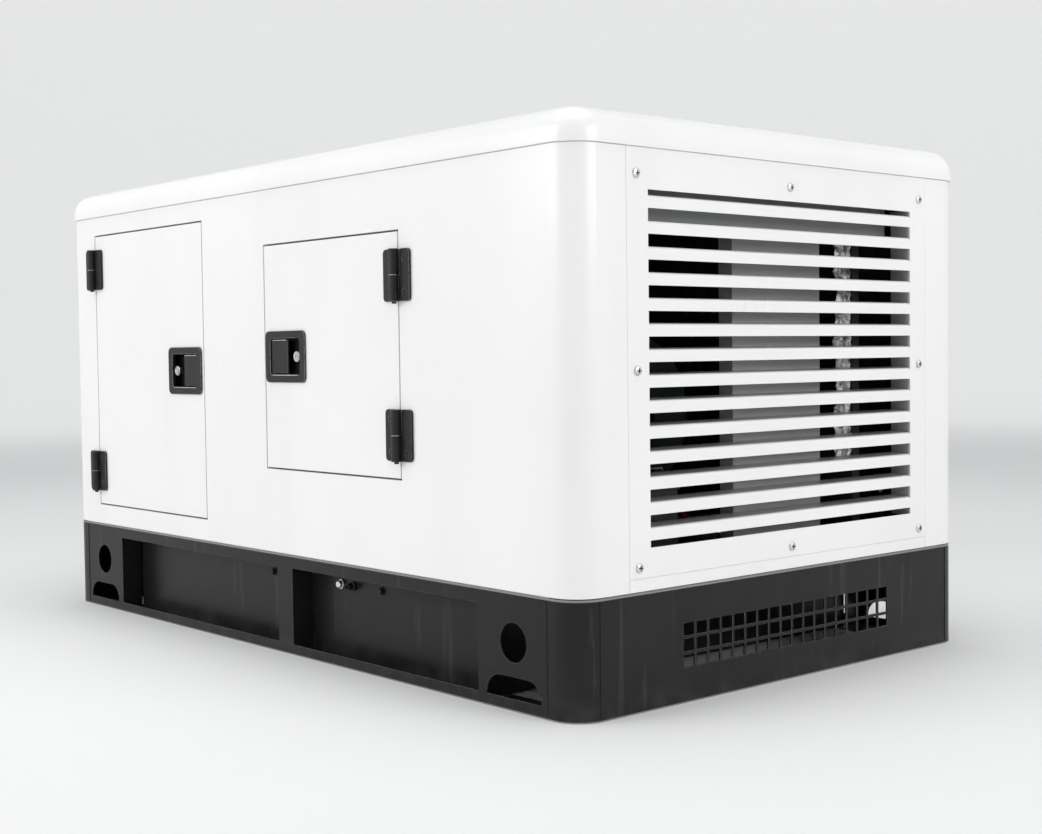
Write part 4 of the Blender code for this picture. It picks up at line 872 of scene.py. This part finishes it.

# ---------------------------------------------------------------- battery
# A starter battery with a ribbed lid stands on the base in the inlet end, held by a strap. Its leads
# run to the starter motor and to the engine block, laid along the deck.

battery_low, battery_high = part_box("battery")
LID_LINE = 0.36
STRAP = 0.002
LEAD_RADIUS = 0.0055


def build_battery_details():
    """The lid's ribs and rim, and the strap over the battery."""
    low, high = battery_low, battery_high
    middle = (low.x + high.x) / 2
    trim = []
    for k in range(2, 6):
        x = middle - 0.05 + 0.02 * k
        trim.append(block((x, low.y + 0.02, LID_LINE - 0.002),
                          (x + 0.01, high.y - 0.02, LID_LINE + 0.003), 0.001, 1))
    trim.append(block((low.x - 0.002, low.y - 0.002, LID_LINE - 0.028),
                      (high.x + 0.002, high.y + 0.002, LID_LINE - 0.022), 0.001, 1))
    place_piece(gather(trim), "battery_lid_ribs", BLACK_PLASTIC)
    near, far = low.x + 0.09, low.x + 0.11
    front, back, top = low.y - 0.004, high.y + 0.004, LID_LINE + 0.006
    strap = [block((near, front, low.z), (far, front + STRAP, top), 0.0006, 1),
             block((near, back - STRAP, low.z), (far, back, top), 0.0006, 1),
             block((near, front, top - STRAP), (far, back, top), 0.0006, 1)]
    place_piece(gather(strap), "battery_strap", ZINC)


def build_battery_leads():
    """A red and a black lead with their clamps, from the posts to the starter and the block."""
    post_x, top = battery_low.x + 0.03, battery_high.z
    routes = (
        ("battery_red_lead", RED_PLASTIC, "red_plastic", battery_low.y + 0.185,
         [(0.60, -0.10, 0.36), (0.55, 0.10, 0.205), (0.42, 0.275, 0.203), (0.05, 0.275, 0.203),
          (-0.05, 0.262, 0.28), (-0.10, 0.240, 0.36), (-0.10, 0.222, 0.39)]),
        ("battery_black_lead", RUBBER, "rubber", battery_low.y + 0.035,
         [(0.60, -0.36, 0.36), (0.585, -0.31, 0.205), (0.45, -0.275, 0.203), (0.05, -0.27, 0.203),
          (-0.02, -0.22, 0.26), (-0.05, -0.15, 0.31), (-0.05, -0.138, 0.32)]),
    )
    for name, finish, slot, y, rest in routes:
        clamp = disc("z", (post_x, y), 0.014, top - 0.010, top + 0.006, 20)
        lead = tube([(post_x, y, top + 0.004), (post_x - 0.02, y + 0.01, top + 0.016), *rest], LEAD_RADIUS)
        place_piece(gather([clamp, lead]), name, finish)


dress("battery", BLACK_PLASTIC, 0.002)
build_battery_details()
build_battery_leads()

# ---------------------------------------------------------------- control cabinet
# The panel behind the right door: a controller with a dark screen, a row of lamps, four round gauges,
# an hour meter, the key switch, the breaker and the stop button, with a loom below. It is unmarked.


def grey_powder_coat():
    coat = Finish("grey_powder_coat", (0.36, 0.37, 0.37), 0.45, coat=0.15)
    cloud = coat.noise(4.0, 3.0)
    peel = coat.noise(650.0, 2.0)
    dust = coat.noise(2.5, 4.0, (1.0, 1.0, 0.5)).between(0.48, 0.72)
    shade = coat.blend((0.34, 0.35, 0.355), (0.40, 0.41, 0.41), cloud)
    shade = coat.blend(shade, (0.30, 0.285, 0.26), dust * 0.35)
    coat.coat(Base_Color=shade, Roughness=0.40 + cloud * 0.12 + dust * 0.15)
    coat.relief(peel, 0.00035, 0.3)
    return coat.material


GREY_COAT = grey_powder_coat()
GLASS_BLACK = moulded_plastic("screen_glass", (0.010, 0.013, 0.016), 0.12, 0.6)
GREEN_LAMP = moulded_plastic("green_lens", (0.02, 0.30, 0.05), 0.15, 0.5)
cabinet_low, cabinet_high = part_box("control_cabinet")
PANEL_FACE = -0.43
GAUGE_SPOTS = [(x, z) for x in (0.262, 0.335) for z in (0.66, 0.585)]
BEZEL = [(0.0, -0.001), (0.030, -0.001), (0.030, 0.004), (0.027, 0.009), (0.025, 0.009), (0.0245, 0.005),
         (0.0, 0.005)]
DIAL_RADIUS = 0.0243
MARK_END = 0.0225
LAMP_PLACES = (0.065, 0.095, 0.125, 0.155)
LAMP_HEIGHT = 0.542
LAMP_RIM = [(0.0, -0.001), (0.0085, -0.001), (0.0085, 0.004), (0.006, 0.005), (0.0, 0.005)]
LENS_SHAPE = [(0.0, 0.004), (0.0058, 0.004), (0.0058, 0.007), (0.004, 0.009), (0.0, 0.0095)]
PANEL_SCREW = [(0.0, -0.001), (0.0055, -0.001), (0.0050, 0.0022), (0.0030, 0.0032), (0.0, 0.0034)]


def on_panel(low, high, back, front, radius=0.0, segments=2):
    """A block on the panel, from corner to corner in X and Z, and from back to front out of its face."""
    return block((low[0], PANEL_FACE - front, low[1]), (high[0], PANEL_FACE - back, high[1]),
                 radius, segments)


def stud(spot, outline, steps):
    return fitting("y", spot, PANEL_FACE, -1, outline, steps)


def build_controller():
    """The controller's case, its screen and its row of keys."""
    keys = []
    for k in range(5):
        x = 0.062 + 0.029 * k
        keys.append(on_panel((x, 0.584), (x + 0.021, 0.600), 0.011, 0.0145, 0.002))
    body = on_panel((0.05, 0.575), (0.21, 0.695), -0.001, 0.012, 0.004)
    screen = on_panel((0.064, 0.61), (0.196, 0.682), 0.0115, 0.0135, 0.0008, 1)
    place_piece(body, "controller", BLACK_PLASTIC)
    place_piece(gather(keys), "controller_keys", GREY_COAT)
    place_piece(screen, "controller_screen", GLASS_BLACK)


def build_gauges():
    """Round gauges: a black bezel, a white dial, eleven marks, and a needle on its hub."""
    bezels = []
    dials = []
    marks = []
    for i, spot in enumerate(GAUGE_SPOTS):
        centre = (spot[0], 0, spot[1])
        bezels.append(stud(spot, BEZEL, 40))
        dials.append(disc("y", spot, DIAL_RADIUS, PANEL_FACE - 0.0048, PANEL_FACE - 0.0054, 40))
        for k in range(11):
            length = 0.005 if k % 5 == 0 else 0.003
            mark = on_panel((-0.0004, MARK_END - length), (0.0004, MARK_END), 0.0052, 0.0058)
            marks.append(moved(turned(mark, math.radians(-125 + 25 * k), "Y"), centre))
        needle = on_panel((-0.0007, -0.004), (0.0007, 0.019), 0.0060, 0.0066)
        marks.append(moved(turned(needle, math.radians(-110 + 12 * i), "Y"), centre))
        marks.append(disc("y", spot, 0.0032, PANEL_FACE - 0.005, PANEL_FACE - 0.0075, 16))
    place_piece(gather(bezels), "gauge_bezels", BLACK_PLASTIC)
    place_piece(gather(dials), "gauge_dials", WHITE_ENAMEL)
    place_piece(gather(marks), "gauge_marks", BLACK_PLASTIC)


def build_lamps_and_meter():
    """One green and three red lamps in plated rims, and the hour meter with its window."""
    rims = [stud((x, LAMP_HEIGHT), LAMP_RIM, 24) for x in LAMP_PLACES]
    lenses = [stud((x, LAMP_HEIGHT), LENS_SHAPE, 24) for x in LAMP_PLACES]
    place_piece(gather(rims), "lamp_rims", ZINC)
    place_piece(lenses[0], "green_lamp", GREEN_LAMP)
    place_piece(gather(lenses[1:]), "red_lamps", RED_PLASTIC)
    meter = on_panel((0.245, 0.515), (0.345, 0.545), -0.001, 0.006, 0.002)
    window = on_panel((0.262, 0.522), (0.328, 0.538), 0.0055, 0.0068, 0.0006, 1)
    place_piece(meter, "hour_meter", BLACK_PLASTIC)
    place_piece(window, "hour_meter_window", GLASS_BLACK)


def build_panel_screws():
    screws = [stud((x, z), PANEL_SCREW, 20) for x in (cabinet_low.x + 0.009, cabinet_high.x - 0.009)
              for z in (0.412, 0.565, cabinet_high.z - 0.012)]
    place_piece(gather(screws), "panel_screws", ZINC)


def build_breaker_surround():
    surround = on_panel((0.0792, 0.4292), (0.1408, 0.5208), -0.001, 0.0121, 0.003)
    toggle_slot = on_panel((0.090, 0.452), (0.130, 0.498), 0.0110, 0.0122)
    place_piece(surround, "breaker_surround", BLACK_PLASTIC)
    place_piece(toggle_slot, "breaker_slot", GLASS_BLACK)


def build_loom():
    """Conduit from the cabinet to the terminal box and to the engine."""
    back = cabinet_high.y
    routes = (
        [(0.32, back - 0.004, 0.50), (0.32, back + 0.03, 0.50), (0.32, back + 0.05, 0.60),
         (0.31, back + 0.07, 0.64), (0.30, -0.14, 0.62), (0.30, -0.096, 0.60)],
        [(0.08, back - 0.004, 0.46), (0.08, back + 0.03, 0.46), (0.02, back + 0.04, 0.50),
         (-0.02, -0.21, 0.58), (-0.03, -0.17, 0.62), (-0.03, CRANKCASE_SIDE + 0.004, 0.63)],
    )
    place_piece(gather([tube(route, 0.011, 4) for route in routes]), "wiring_loom", RUBBER)


dress("control_cabinet", GREY_COAT, 0.0008)
dress("emergency_stop_button", RED_PLASTIC, 0.0015)
dress("start_key_switch", ZINC, 0.0006)
dress("breaker_lever", BLACK_PLASTIC, 0.0012)
build_controller()
build_gauges()
build_lamps_and_meter()
build_panel_screws()
build_breaker_surround()
build_loom()

# ---------------------------------------------------------------- canopy walls and lid
# Folded steel sheet with glossy white powder coat: two side walls whose ends turn round the corners,
# two end frames, and a shallow lid with a turned-down rim over all of them.


def white_powder_coat(name="white_powder_coat", face=None):
    """Glossy white with a fine orange peel and faint runs, and painted shade behind a louvre panel's face."""
    coat = Finish(name, (0.80, 0.80, 0.79), 0.30, coat=0.35)
    cloud = coat.noise(2.2, 3.0)
    peel = coat.noise(420.0, 2.0)
    wave = coat.noise(9.0, 1.0)
    runs = coat.noise(7.0, 3.0, (1.0, 1.0, 0.12)).between(0.40, 0.95)
    grime = coat.edge() * coat.noise(60.0, 3.0).between(0.48, 0.66)
    shade = coat.blend((0.81, 0.81, 0.80), (0.84, 0.84, 0.835), cloud.between(0.2, 0.8))
    shade = coat.blend(shade, (0.66, 0.65, 0.62), runs * 0.22 + grime * 0.30)
    if face is not None:
        # Painted shade: faces that lie behind the louvre panel's outer face, in its slots, turn grey.
        across = coat.node("SeparateXYZ", None, {0: coat.place}, "X")
        reach = coat.node("Math", {"operation": "ABSOLUTE"}, {0: across})
        behind = 1.0 - reach.between(face - 0.0060, face - 0.0004)
        shade = coat.blend(shade, (0.34, 0.34, 0.335), behind * 0.85)
    coat.coat(Base_Color=shade, Roughness=0.25 + cloud * 0.06 + runs * 0.05)
    coat.relief(peel * 0.3 + wave * 0.7, 0.0004, 0.05)
    return coat.material


WHITE_COAT = white_powder_coat()
dress("canopy_front_side", WHITE_COAT, 0.0009)
dress("canopy_rear_side", WHITE_COAT, 0.0009)
dress("inlet_end_frame", WHITE_COAT, 0.0008)
dress("outlet_end_frame", WHITE_COAT, 0.0008)
dress("roof_lid", WHITE_COAT, 0.0014)

# ---------------------------------------------------------------- louvre panels
# Pressed louvre panels close both ends, each held by pan head screws with cross recesses: three up
# each side and one in the middle at top and bottom.

inlet_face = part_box("inlet_louvre_panel")[1].x
outlet_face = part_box("outlet_louvre_panel")[0].x
SCREW_ROWS = (0.2255, 0.529, 0.830)
SCREW_SIDE = 0.367
PAN_RADIUS = 0.0078
PAN_HEIGHT = 0.0042
PAN_HEAD = [(0.0, -0.001), (PAN_RADIUS, -0.001), (PAN_RADIUS, PAN_HEIGHT * 0.35),
            (PAN_RADIUS * 0.86, PAN_HEIGHT * 0.75), (PAN_RADIUS * 0.55, PAN_HEIGHT - 0.0003),
            (0.0, PAN_HEIGHT)]


def recess_shade_cross(axis, centre, top, outward, radius):
    """A dark cross a hair above a screw head's top: painted shade that stands for its sunk cross recess."""
    level = top + outward * 0.00008
    near, far = sorted((level - outward * 0.0006, level))
    arms = []
    for a, b in ((radius * 0.52, radius * 0.13), (radius * 0.13, radius * 0.52)):
        arms.append(block(LAY[axis](centre[0] - a, centre[1] - b, near),
                          LAY[axis](centre[0] + a, centre[1] + b, far)))
    return gather(arms)


def build_louvre_screws(name, face, outward):
    """Pan heads round the panel's border, and dark crosses on them as painted shade for their recesses."""
    spots = [(y, z) for y in (-SCREW_SIDE, SCREW_SIDE) for z in SCREW_ROWS]
    spots += [(0.0, SCREW_ROWS[0]), (0.0, SCREW_ROWS[2])]
    top = face + outward * PAN_HEIGHT
    heads = [fitting("x", spot, face, outward, PAN_HEAD, 28) for spot in spots]
    # Dark crosses laid on the heads: painted shade for the cross recesses.
    crosses = [recess_shade_cross("x", spot, top, outward, PAN_RADIUS) for spot in spots]
    place_piece(gather(heads), f"{name}_louvre_screws", ZINC)
    place_piece(gather(crosses), f"{name}_screw_recess_shade", BLACK_PLASTIC)


# The louvre panels' coat carries painted shade in the slots behind their outer face.
LOUVRE_SHADE_COAT = white_powder_coat("louvre_coat_painted_shade", inlet_face)
dress("inlet_louvre_panel", LOUVRE_SHADE_COAT, 0.0008)
dress("outlet_louvre_panel", LOUVRE_SHADE_COAT, 0.0008)
build_louvre_screws("inlet", inlet_face, 1)
build_louvre_screws("outlet", outlet_face, -1)

# ---------------------------------------------------------------- baffle and inlet lining
# A grey plate stands behind the inlet louvres so that no sound goes straight out. Beside it a board
# of black foam faced with foil lines the duct.

baffle_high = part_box("inlet_baffle")[1]
DUCT_SIDE = 0.242
DUCT_BOTTOM = 0.36
DUCT_TOP = 0.80
FOIL_WIDTH = 0.045


def foil():
    sheet = Finish("foil_facing", (0.62, 0.62, 0.61), 0.28, metallic=0.8)
    crease = sheet.noise(70.0, 4.0)
    fold = sheet.noise(22.0, 2.0)
    shade = sheet.blend((0.34, 0.34, 0.33), (0.78, 0.78, 0.77), crease.between(0.38, 0.62))
    sheet.coat(Base_Color=shade, Roughness=0.20 + crease * 0.30)
    sheet.relief(crease * 0.6 + fold * 0.4, 0.006, 1.0)
    return sheet.material


def build_foil_strip():
    """Foil facing on the board's edge, crumpled where the board was pushed in."""
    dice = random.Random(31)
    mesh = bmesh.new()
    columns, rows = 10, 90
    grid = []
    for k in range(rows + 1):
        z = DUCT_BOTTOM + (DUCT_TOP - DUCT_BOTTOM) * k / rows
        edge = 0.004 * math.sin(z * 41.0) + 0.003 * math.sin(z * 97.0)
        line = []
        for i in range(columns + 1):
            y = DUCT_SIDE - 0.002 - FOIL_WIDTH * i / columns + edge * i / columns
            line.append(mesh.verts.new((baffle_high.x - 0.010 + dice.uniform(-0.0025, 0.0025), y, z)))
        grid.append(line)
    for k in range(rows):
        for i in range(columns):
            mesh.faces.new((grid[k][i], grid[k][i + 1], grid[k + 1][i + 1], grid[k + 1][i]))
    bmesh.ops.recalc_face_normals(mesh, faces=mesh.faces)
    bmesh.ops.solidify(mesh, geom=mesh.faces[:], thickness=0.0006)
    place_piece(mesh, "foil_facing", foil())


DUCT_FOAM = moulded_plastic("duct_foam", (0.020, 0.020, 0.021), 0.93)


def build_duct_board():
    board = block((0.70, DUCT_SIDE, 0.1885), (baffle_high.x - 0.008, DUCT_SIDE + 0.022, 0.85), 0.002)
    place_piece(board, "duct_board", DUCT_FOAM)


def build_baffle_screws():
    seat = baffle_high.x - 0.0002
    screws = [hex_head("x", (y, z), seat, seat + 0.0047, 0.0050)
              for y in (-0.315, 0.315) for z in (0.30, 0.55, 0.80)]
    place_piece(gather(screws), "baffle_screws", ZINC)


dress("inlet_baffle", GREY_COAT, 0.0008)
build_duct_board()
build_foil_strip()
build_baffle_screws()

# ---------------------------------------------------------------- doors, seals, hinges
# Folded door pans close on a rubber seal that is pressed onto the wall's flange. They hang on black
# surface hinges, each leaf held by two countersunk screws.


def black_hardware():
    """Black textured coat on die castings, rubbed on the edges."""
    coat = Finish("black_hardware", (0.009, 0.009, 0.010), 0.42)
    coat.shader.inputs["Specular IOR Level"].default_value = 0.3
    grain = coat.noise(700.0, 2.0)
    cloud = coat.noise(20.0, 3.0)
    rubbed = coat.edge() * coat.noise(150.0, 3.0).between(0.30, 0.52)
    shade = coat.blend((0.006, 0.006, 0.007), (0.018, 0.018, 0.019), cloud)
    shade = coat.blend(shade, (0.26, 0.26, 0.26), rubbed * 0.6)
    coat.coat(Base_Color=shade, Roughness=0.36 + cloud * 0.14 + grain * 0.08)
    coat.relief(grain, 0.0004, 0.45)
    return coat.material


BLACK_HARDWARE = black_hardware()
SEAL_BACK = -0.4743
SEAL_FRONT = -0.4777
SEAL_WIDTH = 0.006
SEAL_INSET = 0.006


def build_door_seal(door):
    """A rubber ring between the wall's flange and the closed door pan."""
    low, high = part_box(door)
    out_low = (low.x + SEAL_INSET - SEAL_WIDTH / 2, low.z + SEAL_INSET - SEAL_WIDTH / 2)
    out_high = (high.x - SEAL_INSET + SEAL_WIDTH / 2, high.z - SEAL_INSET + SEAL_WIDTH / 2)
    bars = [
        ((out_low[0], out_low[1]), (out_high[0], out_low[1] + SEAL_WIDTH)),
        ((out_low[0], out_high[1] - SEAL_WIDTH), (out_high[0], out_high[1])),
        ((out_low[0], out_low[1] + SEAL_WIDTH), (out_low[0] + SEAL_WIDTH, out_high[1] - SEAL_WIDTH)),
        ((out_high[0] - SEAL_WIDTH, out_low[1] + SEAL_WIDTH), (out_high[0], out_high[1] - SEAL_WIDTH)),
    ]
    ring = [block((a[0], SEAL_FRONT, a[1]), (b[0], SEAL_BACK, b[1]), 0.0008, 1) for a, b in bars]
    place_piece(gather(ring), f"{door}_seal", RUBBER)


HINGE_FACE = -0.5048
HINGE_SCREW_INSET = 0.0146
HINGE_SCREW_SPREAD = 0.028
HINGE_HALF_HEIGHT = 0.044
SINK_RADIUS = 0.0052
SUNK_HEAD = [(0.0, -0.0014), (SINK_RADIUS, -0.0014), (SINK_RADIUS, -0.0004), (SINK_RADIUS * 0.9, -0.0001),
             (0.0, 0.0002)]
KNUCKLE_RADIUS = 0.009
WASHER_HALF = 0.00026


def hinge_screws(leaf, far_side):
    """The countersunk heads and their cross recesses in one leaf, which ends on its far side."""
    low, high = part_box(leaf)
    x = low.x + HINGE_SCREW_INSET if far_side < 0 else high.x - HINGE_SCREW_INSET
    heads = []
    for shift in (-HINGE_SCREW_SPREAD, HINGE_SCREW_SPREAD):
        spot = (x, high.z - HINGE_HALF_HEIGHT + shift)
        heads.append(fitting("y", spot, HINGE_FACE, -1, SUNK_HEAD))
        heads.append(recess_shade_cross("y", spot, HINGE_FACE - 0.0002, -1, SINK_RADIUS))
    return heads


def hinge_washer(leaf, far_side):
    """The plated washer between the two knuckles of a hinge."""
    low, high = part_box(leaf)
    x = low.x + KNUCKLE_RADIUS if far_side > 0 else high.x - KNUCKLE_RADIUS
    middle = high.z - HINGE_HALF_HEIGHT
    spot = (x, HINGE_FACE - KNUCKLE_RADIUS / 2)
    return disc("z", spot, KNUCKLE_RADIUS, middle - WASHER_HALF, middle + WASHER_HALF)


for side, far_side in (("left", -1), ("right", 1)):
    door = f"{side}_door"
    dress(door, WHITE_COAT, 0.0008)
    build_door_seal(door)
    fixed = []
    swinging = []
    washers = []
    for level in ("upper", "lower"):
        hinge = f"{side}_{level}_hinge"
        dress(f"{hinge}_wall_leaf", BLACK_HARDWARE, 0.0006)
        dress(f"{hinge}_door_leaf", BLACK_HARDWARE, 0.0006)
        washers.append(hinge_washer(f"{hinge}_wall_leaf", far_side))
        fixed += hinge_screws(f"{hinge}_wall_leaf", far_side)
        swinging += hinge_screws(f"{hinge}_door_leaf", -far_side)
    place_piece(gather(washers), f"{side}_hinge_washers", ZINC)
    place_piece(gather(fixed), f"{side}_wall_leaf_screws", BLACK_HARDWARE)
    place_piece(gather(swinging), f"{side}_door_leaf_screws", BLACK_HARDWARE, door)

# ---------------------------------------------------------------- latches
# Paddle latches: a recessed black plate, a paddle that lifts against a spring, and beside it a plated
# key cylinder in a collar. Plated rods along the tray's lower lip and the paddle's top edge are painted
# highlights, the paddle's also worn paint; the tray is darker in its depth as painted shade.

RECESS = (0.100, 0.068)
RECESS_ROUND = 0.006
LIP_RADIUS = 0.0009
COLLAR_RADIUS = 0.0098


def tray_black():
    """Black textured coat with painted shade: darker and duller deeper in the tray."""
    coat = Finish("latch_tray_painted_shade", (0.009, 0.009, 0.010), 0.42)
    coat.shader.inputs["Specular IOR Level"].default_value = 0.3
    grain = coat.noise(700.0, 2.0)
    # Painted shade: the deeper a face lies in the tray, the nearer black and the more metallic it is, so it
    # loses its diffuse light.
    depth = coat.node("SeparateXYZ", None, {0: coat.place}, "Y").between(-0.500, -0.494)
    rubbed = coat.edge() * coat.noise(150.0, 3.0).between(0.30, 0.52)
    shade = coat.blend((0.012, 0.012, 0.013), (0.26, 0.26, 0.26), rubbed * 0.6)
    shade = coat.blend(shade, (0.002, 0.002, 0.002), depth)
    coat.coat(Base_Color=shade, Roughness=0.40 + grain * 0.08, Metallic=depth * 0.8)
    coat.relief(grain, 0.0004, 0.45)
    return coat.material


def worn_highlight_rod(low_x, high_x, y, z):
    """A thin plated rod along the set: a painted highlight on a rounded edge, which fingers also wear."""
    return lathe("x", (y, z), [(0.0, low_x), (LIP_RADIUS, low_x + 0.001), (LIP_RADIUS, high_x - 0.001),
                               (0.0, high_x)], 12)


def build_brightwork(side):
    """The painted highlight on the tray's lip and the key's collar on the door, and the painted highlight on
    the paddle's worn edge.
    """
    plate_low, plate_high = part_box(f"{side}_latch_housing")
    paddle_low, paddle_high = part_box(f"{side}_latch_paddle")
    key_low, key_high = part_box(f"{side}_key_cylinder")
    middle = (plate_low + plate_high) / 2
    reach = RECESS[0] / 2 - RECESS_ROUND
    lip_height = middle.z - RECESS[1] / 2 - 0.0002
    lip = worn_highlight_rod(middle.x - reach, middle.x + reach, plate_low.y + 0.0006, lip_height)
    bore = (key_high.x - key_low.x) / 2 + 0.0003
    ring = [(bore, 0.004), (COLLAR_RADIUS, 0.004), (COLLAR_RADIUS, 0.0006), (COLLAR_RADIUS - 0.0008, 0.0),
            (bore, 0.0), (bore, 0.004)]
    key = (key_low + key_high) / 2
    collar = fitting("y", (key.x, key.z), key_low.y + 0.0012, 1, ring, 32)
    place_piece(gather([lip, collar]), f"{side}_latch_collar_and_lip_highlight", ZINC, f"{side}_door")
    edge = worn_highlight_rod(paddle_low.x + 0.003, paddle_high.x - 0.003, paddle_low.y + 0.0009,
                      paddle_high.z - 0.0007)
    place_piece(edge, f"{side}_paddle_edge_highlight", ZINC, f"{side}_paddle")


TRAY_SHADE_BLACK = tray_black()
for side in ("left", "right"):
    dress(f"{side}_latch_housing", TRAY_SHADE_BLACK, 0.001)
    dress(f"{side}_latch_paddle", BLACK_HARDWARE, 0.001)
    dress(f"{side}_key_cylinder", ZINC, 0.0004)
    build_brightwork(side)

# ---------------------------------------------------------------- sound lining
# Open cell foam cut in an egg-crate pattern, glued inside the doors, the rear wall and the roof. The
# door pads are cut out round their latches.


def open_cell_foam():
    """Charcoal foam: pores, a cloudy tone and dark specks."""
    lining = Finish("open_cell_foam", (0.04, 0.04, 0.042), 0.95)
    pores = lining.noise(900.0, 2.0)
    cloud = lining.noise(6.0, 3.0)
    speck = lining.noise(420.0, 1.0).between(0.58, 0.66)
    shade = lining.blend((0.030, 0.030, 0.032), (0.062, 0.061, 0.060), cloud.between(0.3, 0.7))
    shade = lining.blend(shade, (0.012, 0.012, 0.012), speck * 0.6)
    lining.coat(Base_Color=shade, Roughness=0.92 + pores * 0.06)
    lining.relief(pores * 0.7 + speck * 0.3, 0.0012, 0.6)
    return lining.material


FOAM_LINING = open_cell_foam()
DOOR_PITCH = 0.024
WALL_PITCH = 0.040
LATCH_SPOTS = {"left": (-0.3135, 0.5304), "right": (0.066, 0.55675)}
CUT_WIDTH = 0.055
CUT_HEIGHT = 0.039


def marks_along(low, high, stops, step):
    """Places from low to high, about a step apart, that include each stop."""
    places = []
    ends = [low, *stops, high]
    for start, stop in zip(ends, ends[1:]):
        count = max(1, round((stop - start) / step))
        places += [start + (stop - start) * i / count for i in range(count)]
    return [*places, high]


def egg_crate(node, lay, back, crest, pitch, opening=None):
    """A foam panel: a grid of bumps between its back plane and its crests, with a cut-out if it has one."""
    low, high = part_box(node)
    opening_x, opening_up = (opening[:2], opening[2:]) if opening else ((), ())
    across = marks_along(low.x, high.x, opening_x, pitch / 6)
    if lay == "y":
        along = marks_along(low.z, high.z, opening_up, pitch / 6)
    else:
        along = marks_along(low.y, high.y, opening_up, pitch / 6)
    hollow = back + (crest - back) * 0.42
    mesh = bmesh.new()
    rows = []
    for b in along:
        line = []
        for a in across:
            wave = 0.5 + 0.25 * (math.cos(2 * math.pi * a / pitch) + math.cos(2 * math.pi * b / pitch))
            line.append(mesh.verts.new(LAY[lay](a, b, hollow + (crest - hollow) * wave)))
        rows.append(line)
    for j in range(len(along) - 1):
        for i in range(len(across) - 1):
            inside = opening and opening[0] <= (across[i] + across[i + 1]) / 2 <= opening[1]
            if inside and opening[2] <= (along[j] + along[j + 1]) / 2 <= opening[3]:
                continue
            mesh.faces.new((rows[j][i], rows[j][i + 1], rows[j + 1][i + 1], rows[j + 1][i]))
    bmesh.ops.delete(mesh, geom=[point for point in mesh.verts if not point.link_faces], context="VERTS")
    rim = [edge for edge in mesh.edges if edge.is_boundary]
    grown = bmesh.ops.extrude_edge_only(mesh, edges=rim)["geom"]
    for point in grown:
        if isinstance(point, bmesh.types.BMVert):
            point.co["xyz".index(lay)] = back
    bmesh.ops.triangle_fill(mesh, edges=[edge for edge in mesh.edges if edge.is_boundary], use_dissolve=False)
    bmesh.ops.recalc_face_normals(mesh, faces=mesh.faces)
    body = frame["nodes"][node]["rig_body"]
    lining = place_piece(mesh, f"{node}_lining", FOAM_LINING, body)
    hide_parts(node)


for side, (x, z) in LATCH_SPOTS.items():
    foam_low, foam_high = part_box(f"{side}_door_foam")
    cut = (x - CUT_WIDTH, x + CUT_WIDTH, z - CUT_HEIGHT, z + CUT_HEIGHT)
    egg_crate(f"{side}_door_foam", "y", foam_low.y, foam_high.y, DOOR_PITCH, cut)
foam_low, foam_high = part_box("rear_wall_foam")
egg_crate("rear_wall_foam", "y", foam_high.y, foam_low.y, WALL_PITCH)
foam_low, foam_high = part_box("roof_foam")
egg_crate("roof_foam", "z", foam_high.z, foam_low.z, WALL_PITCH)
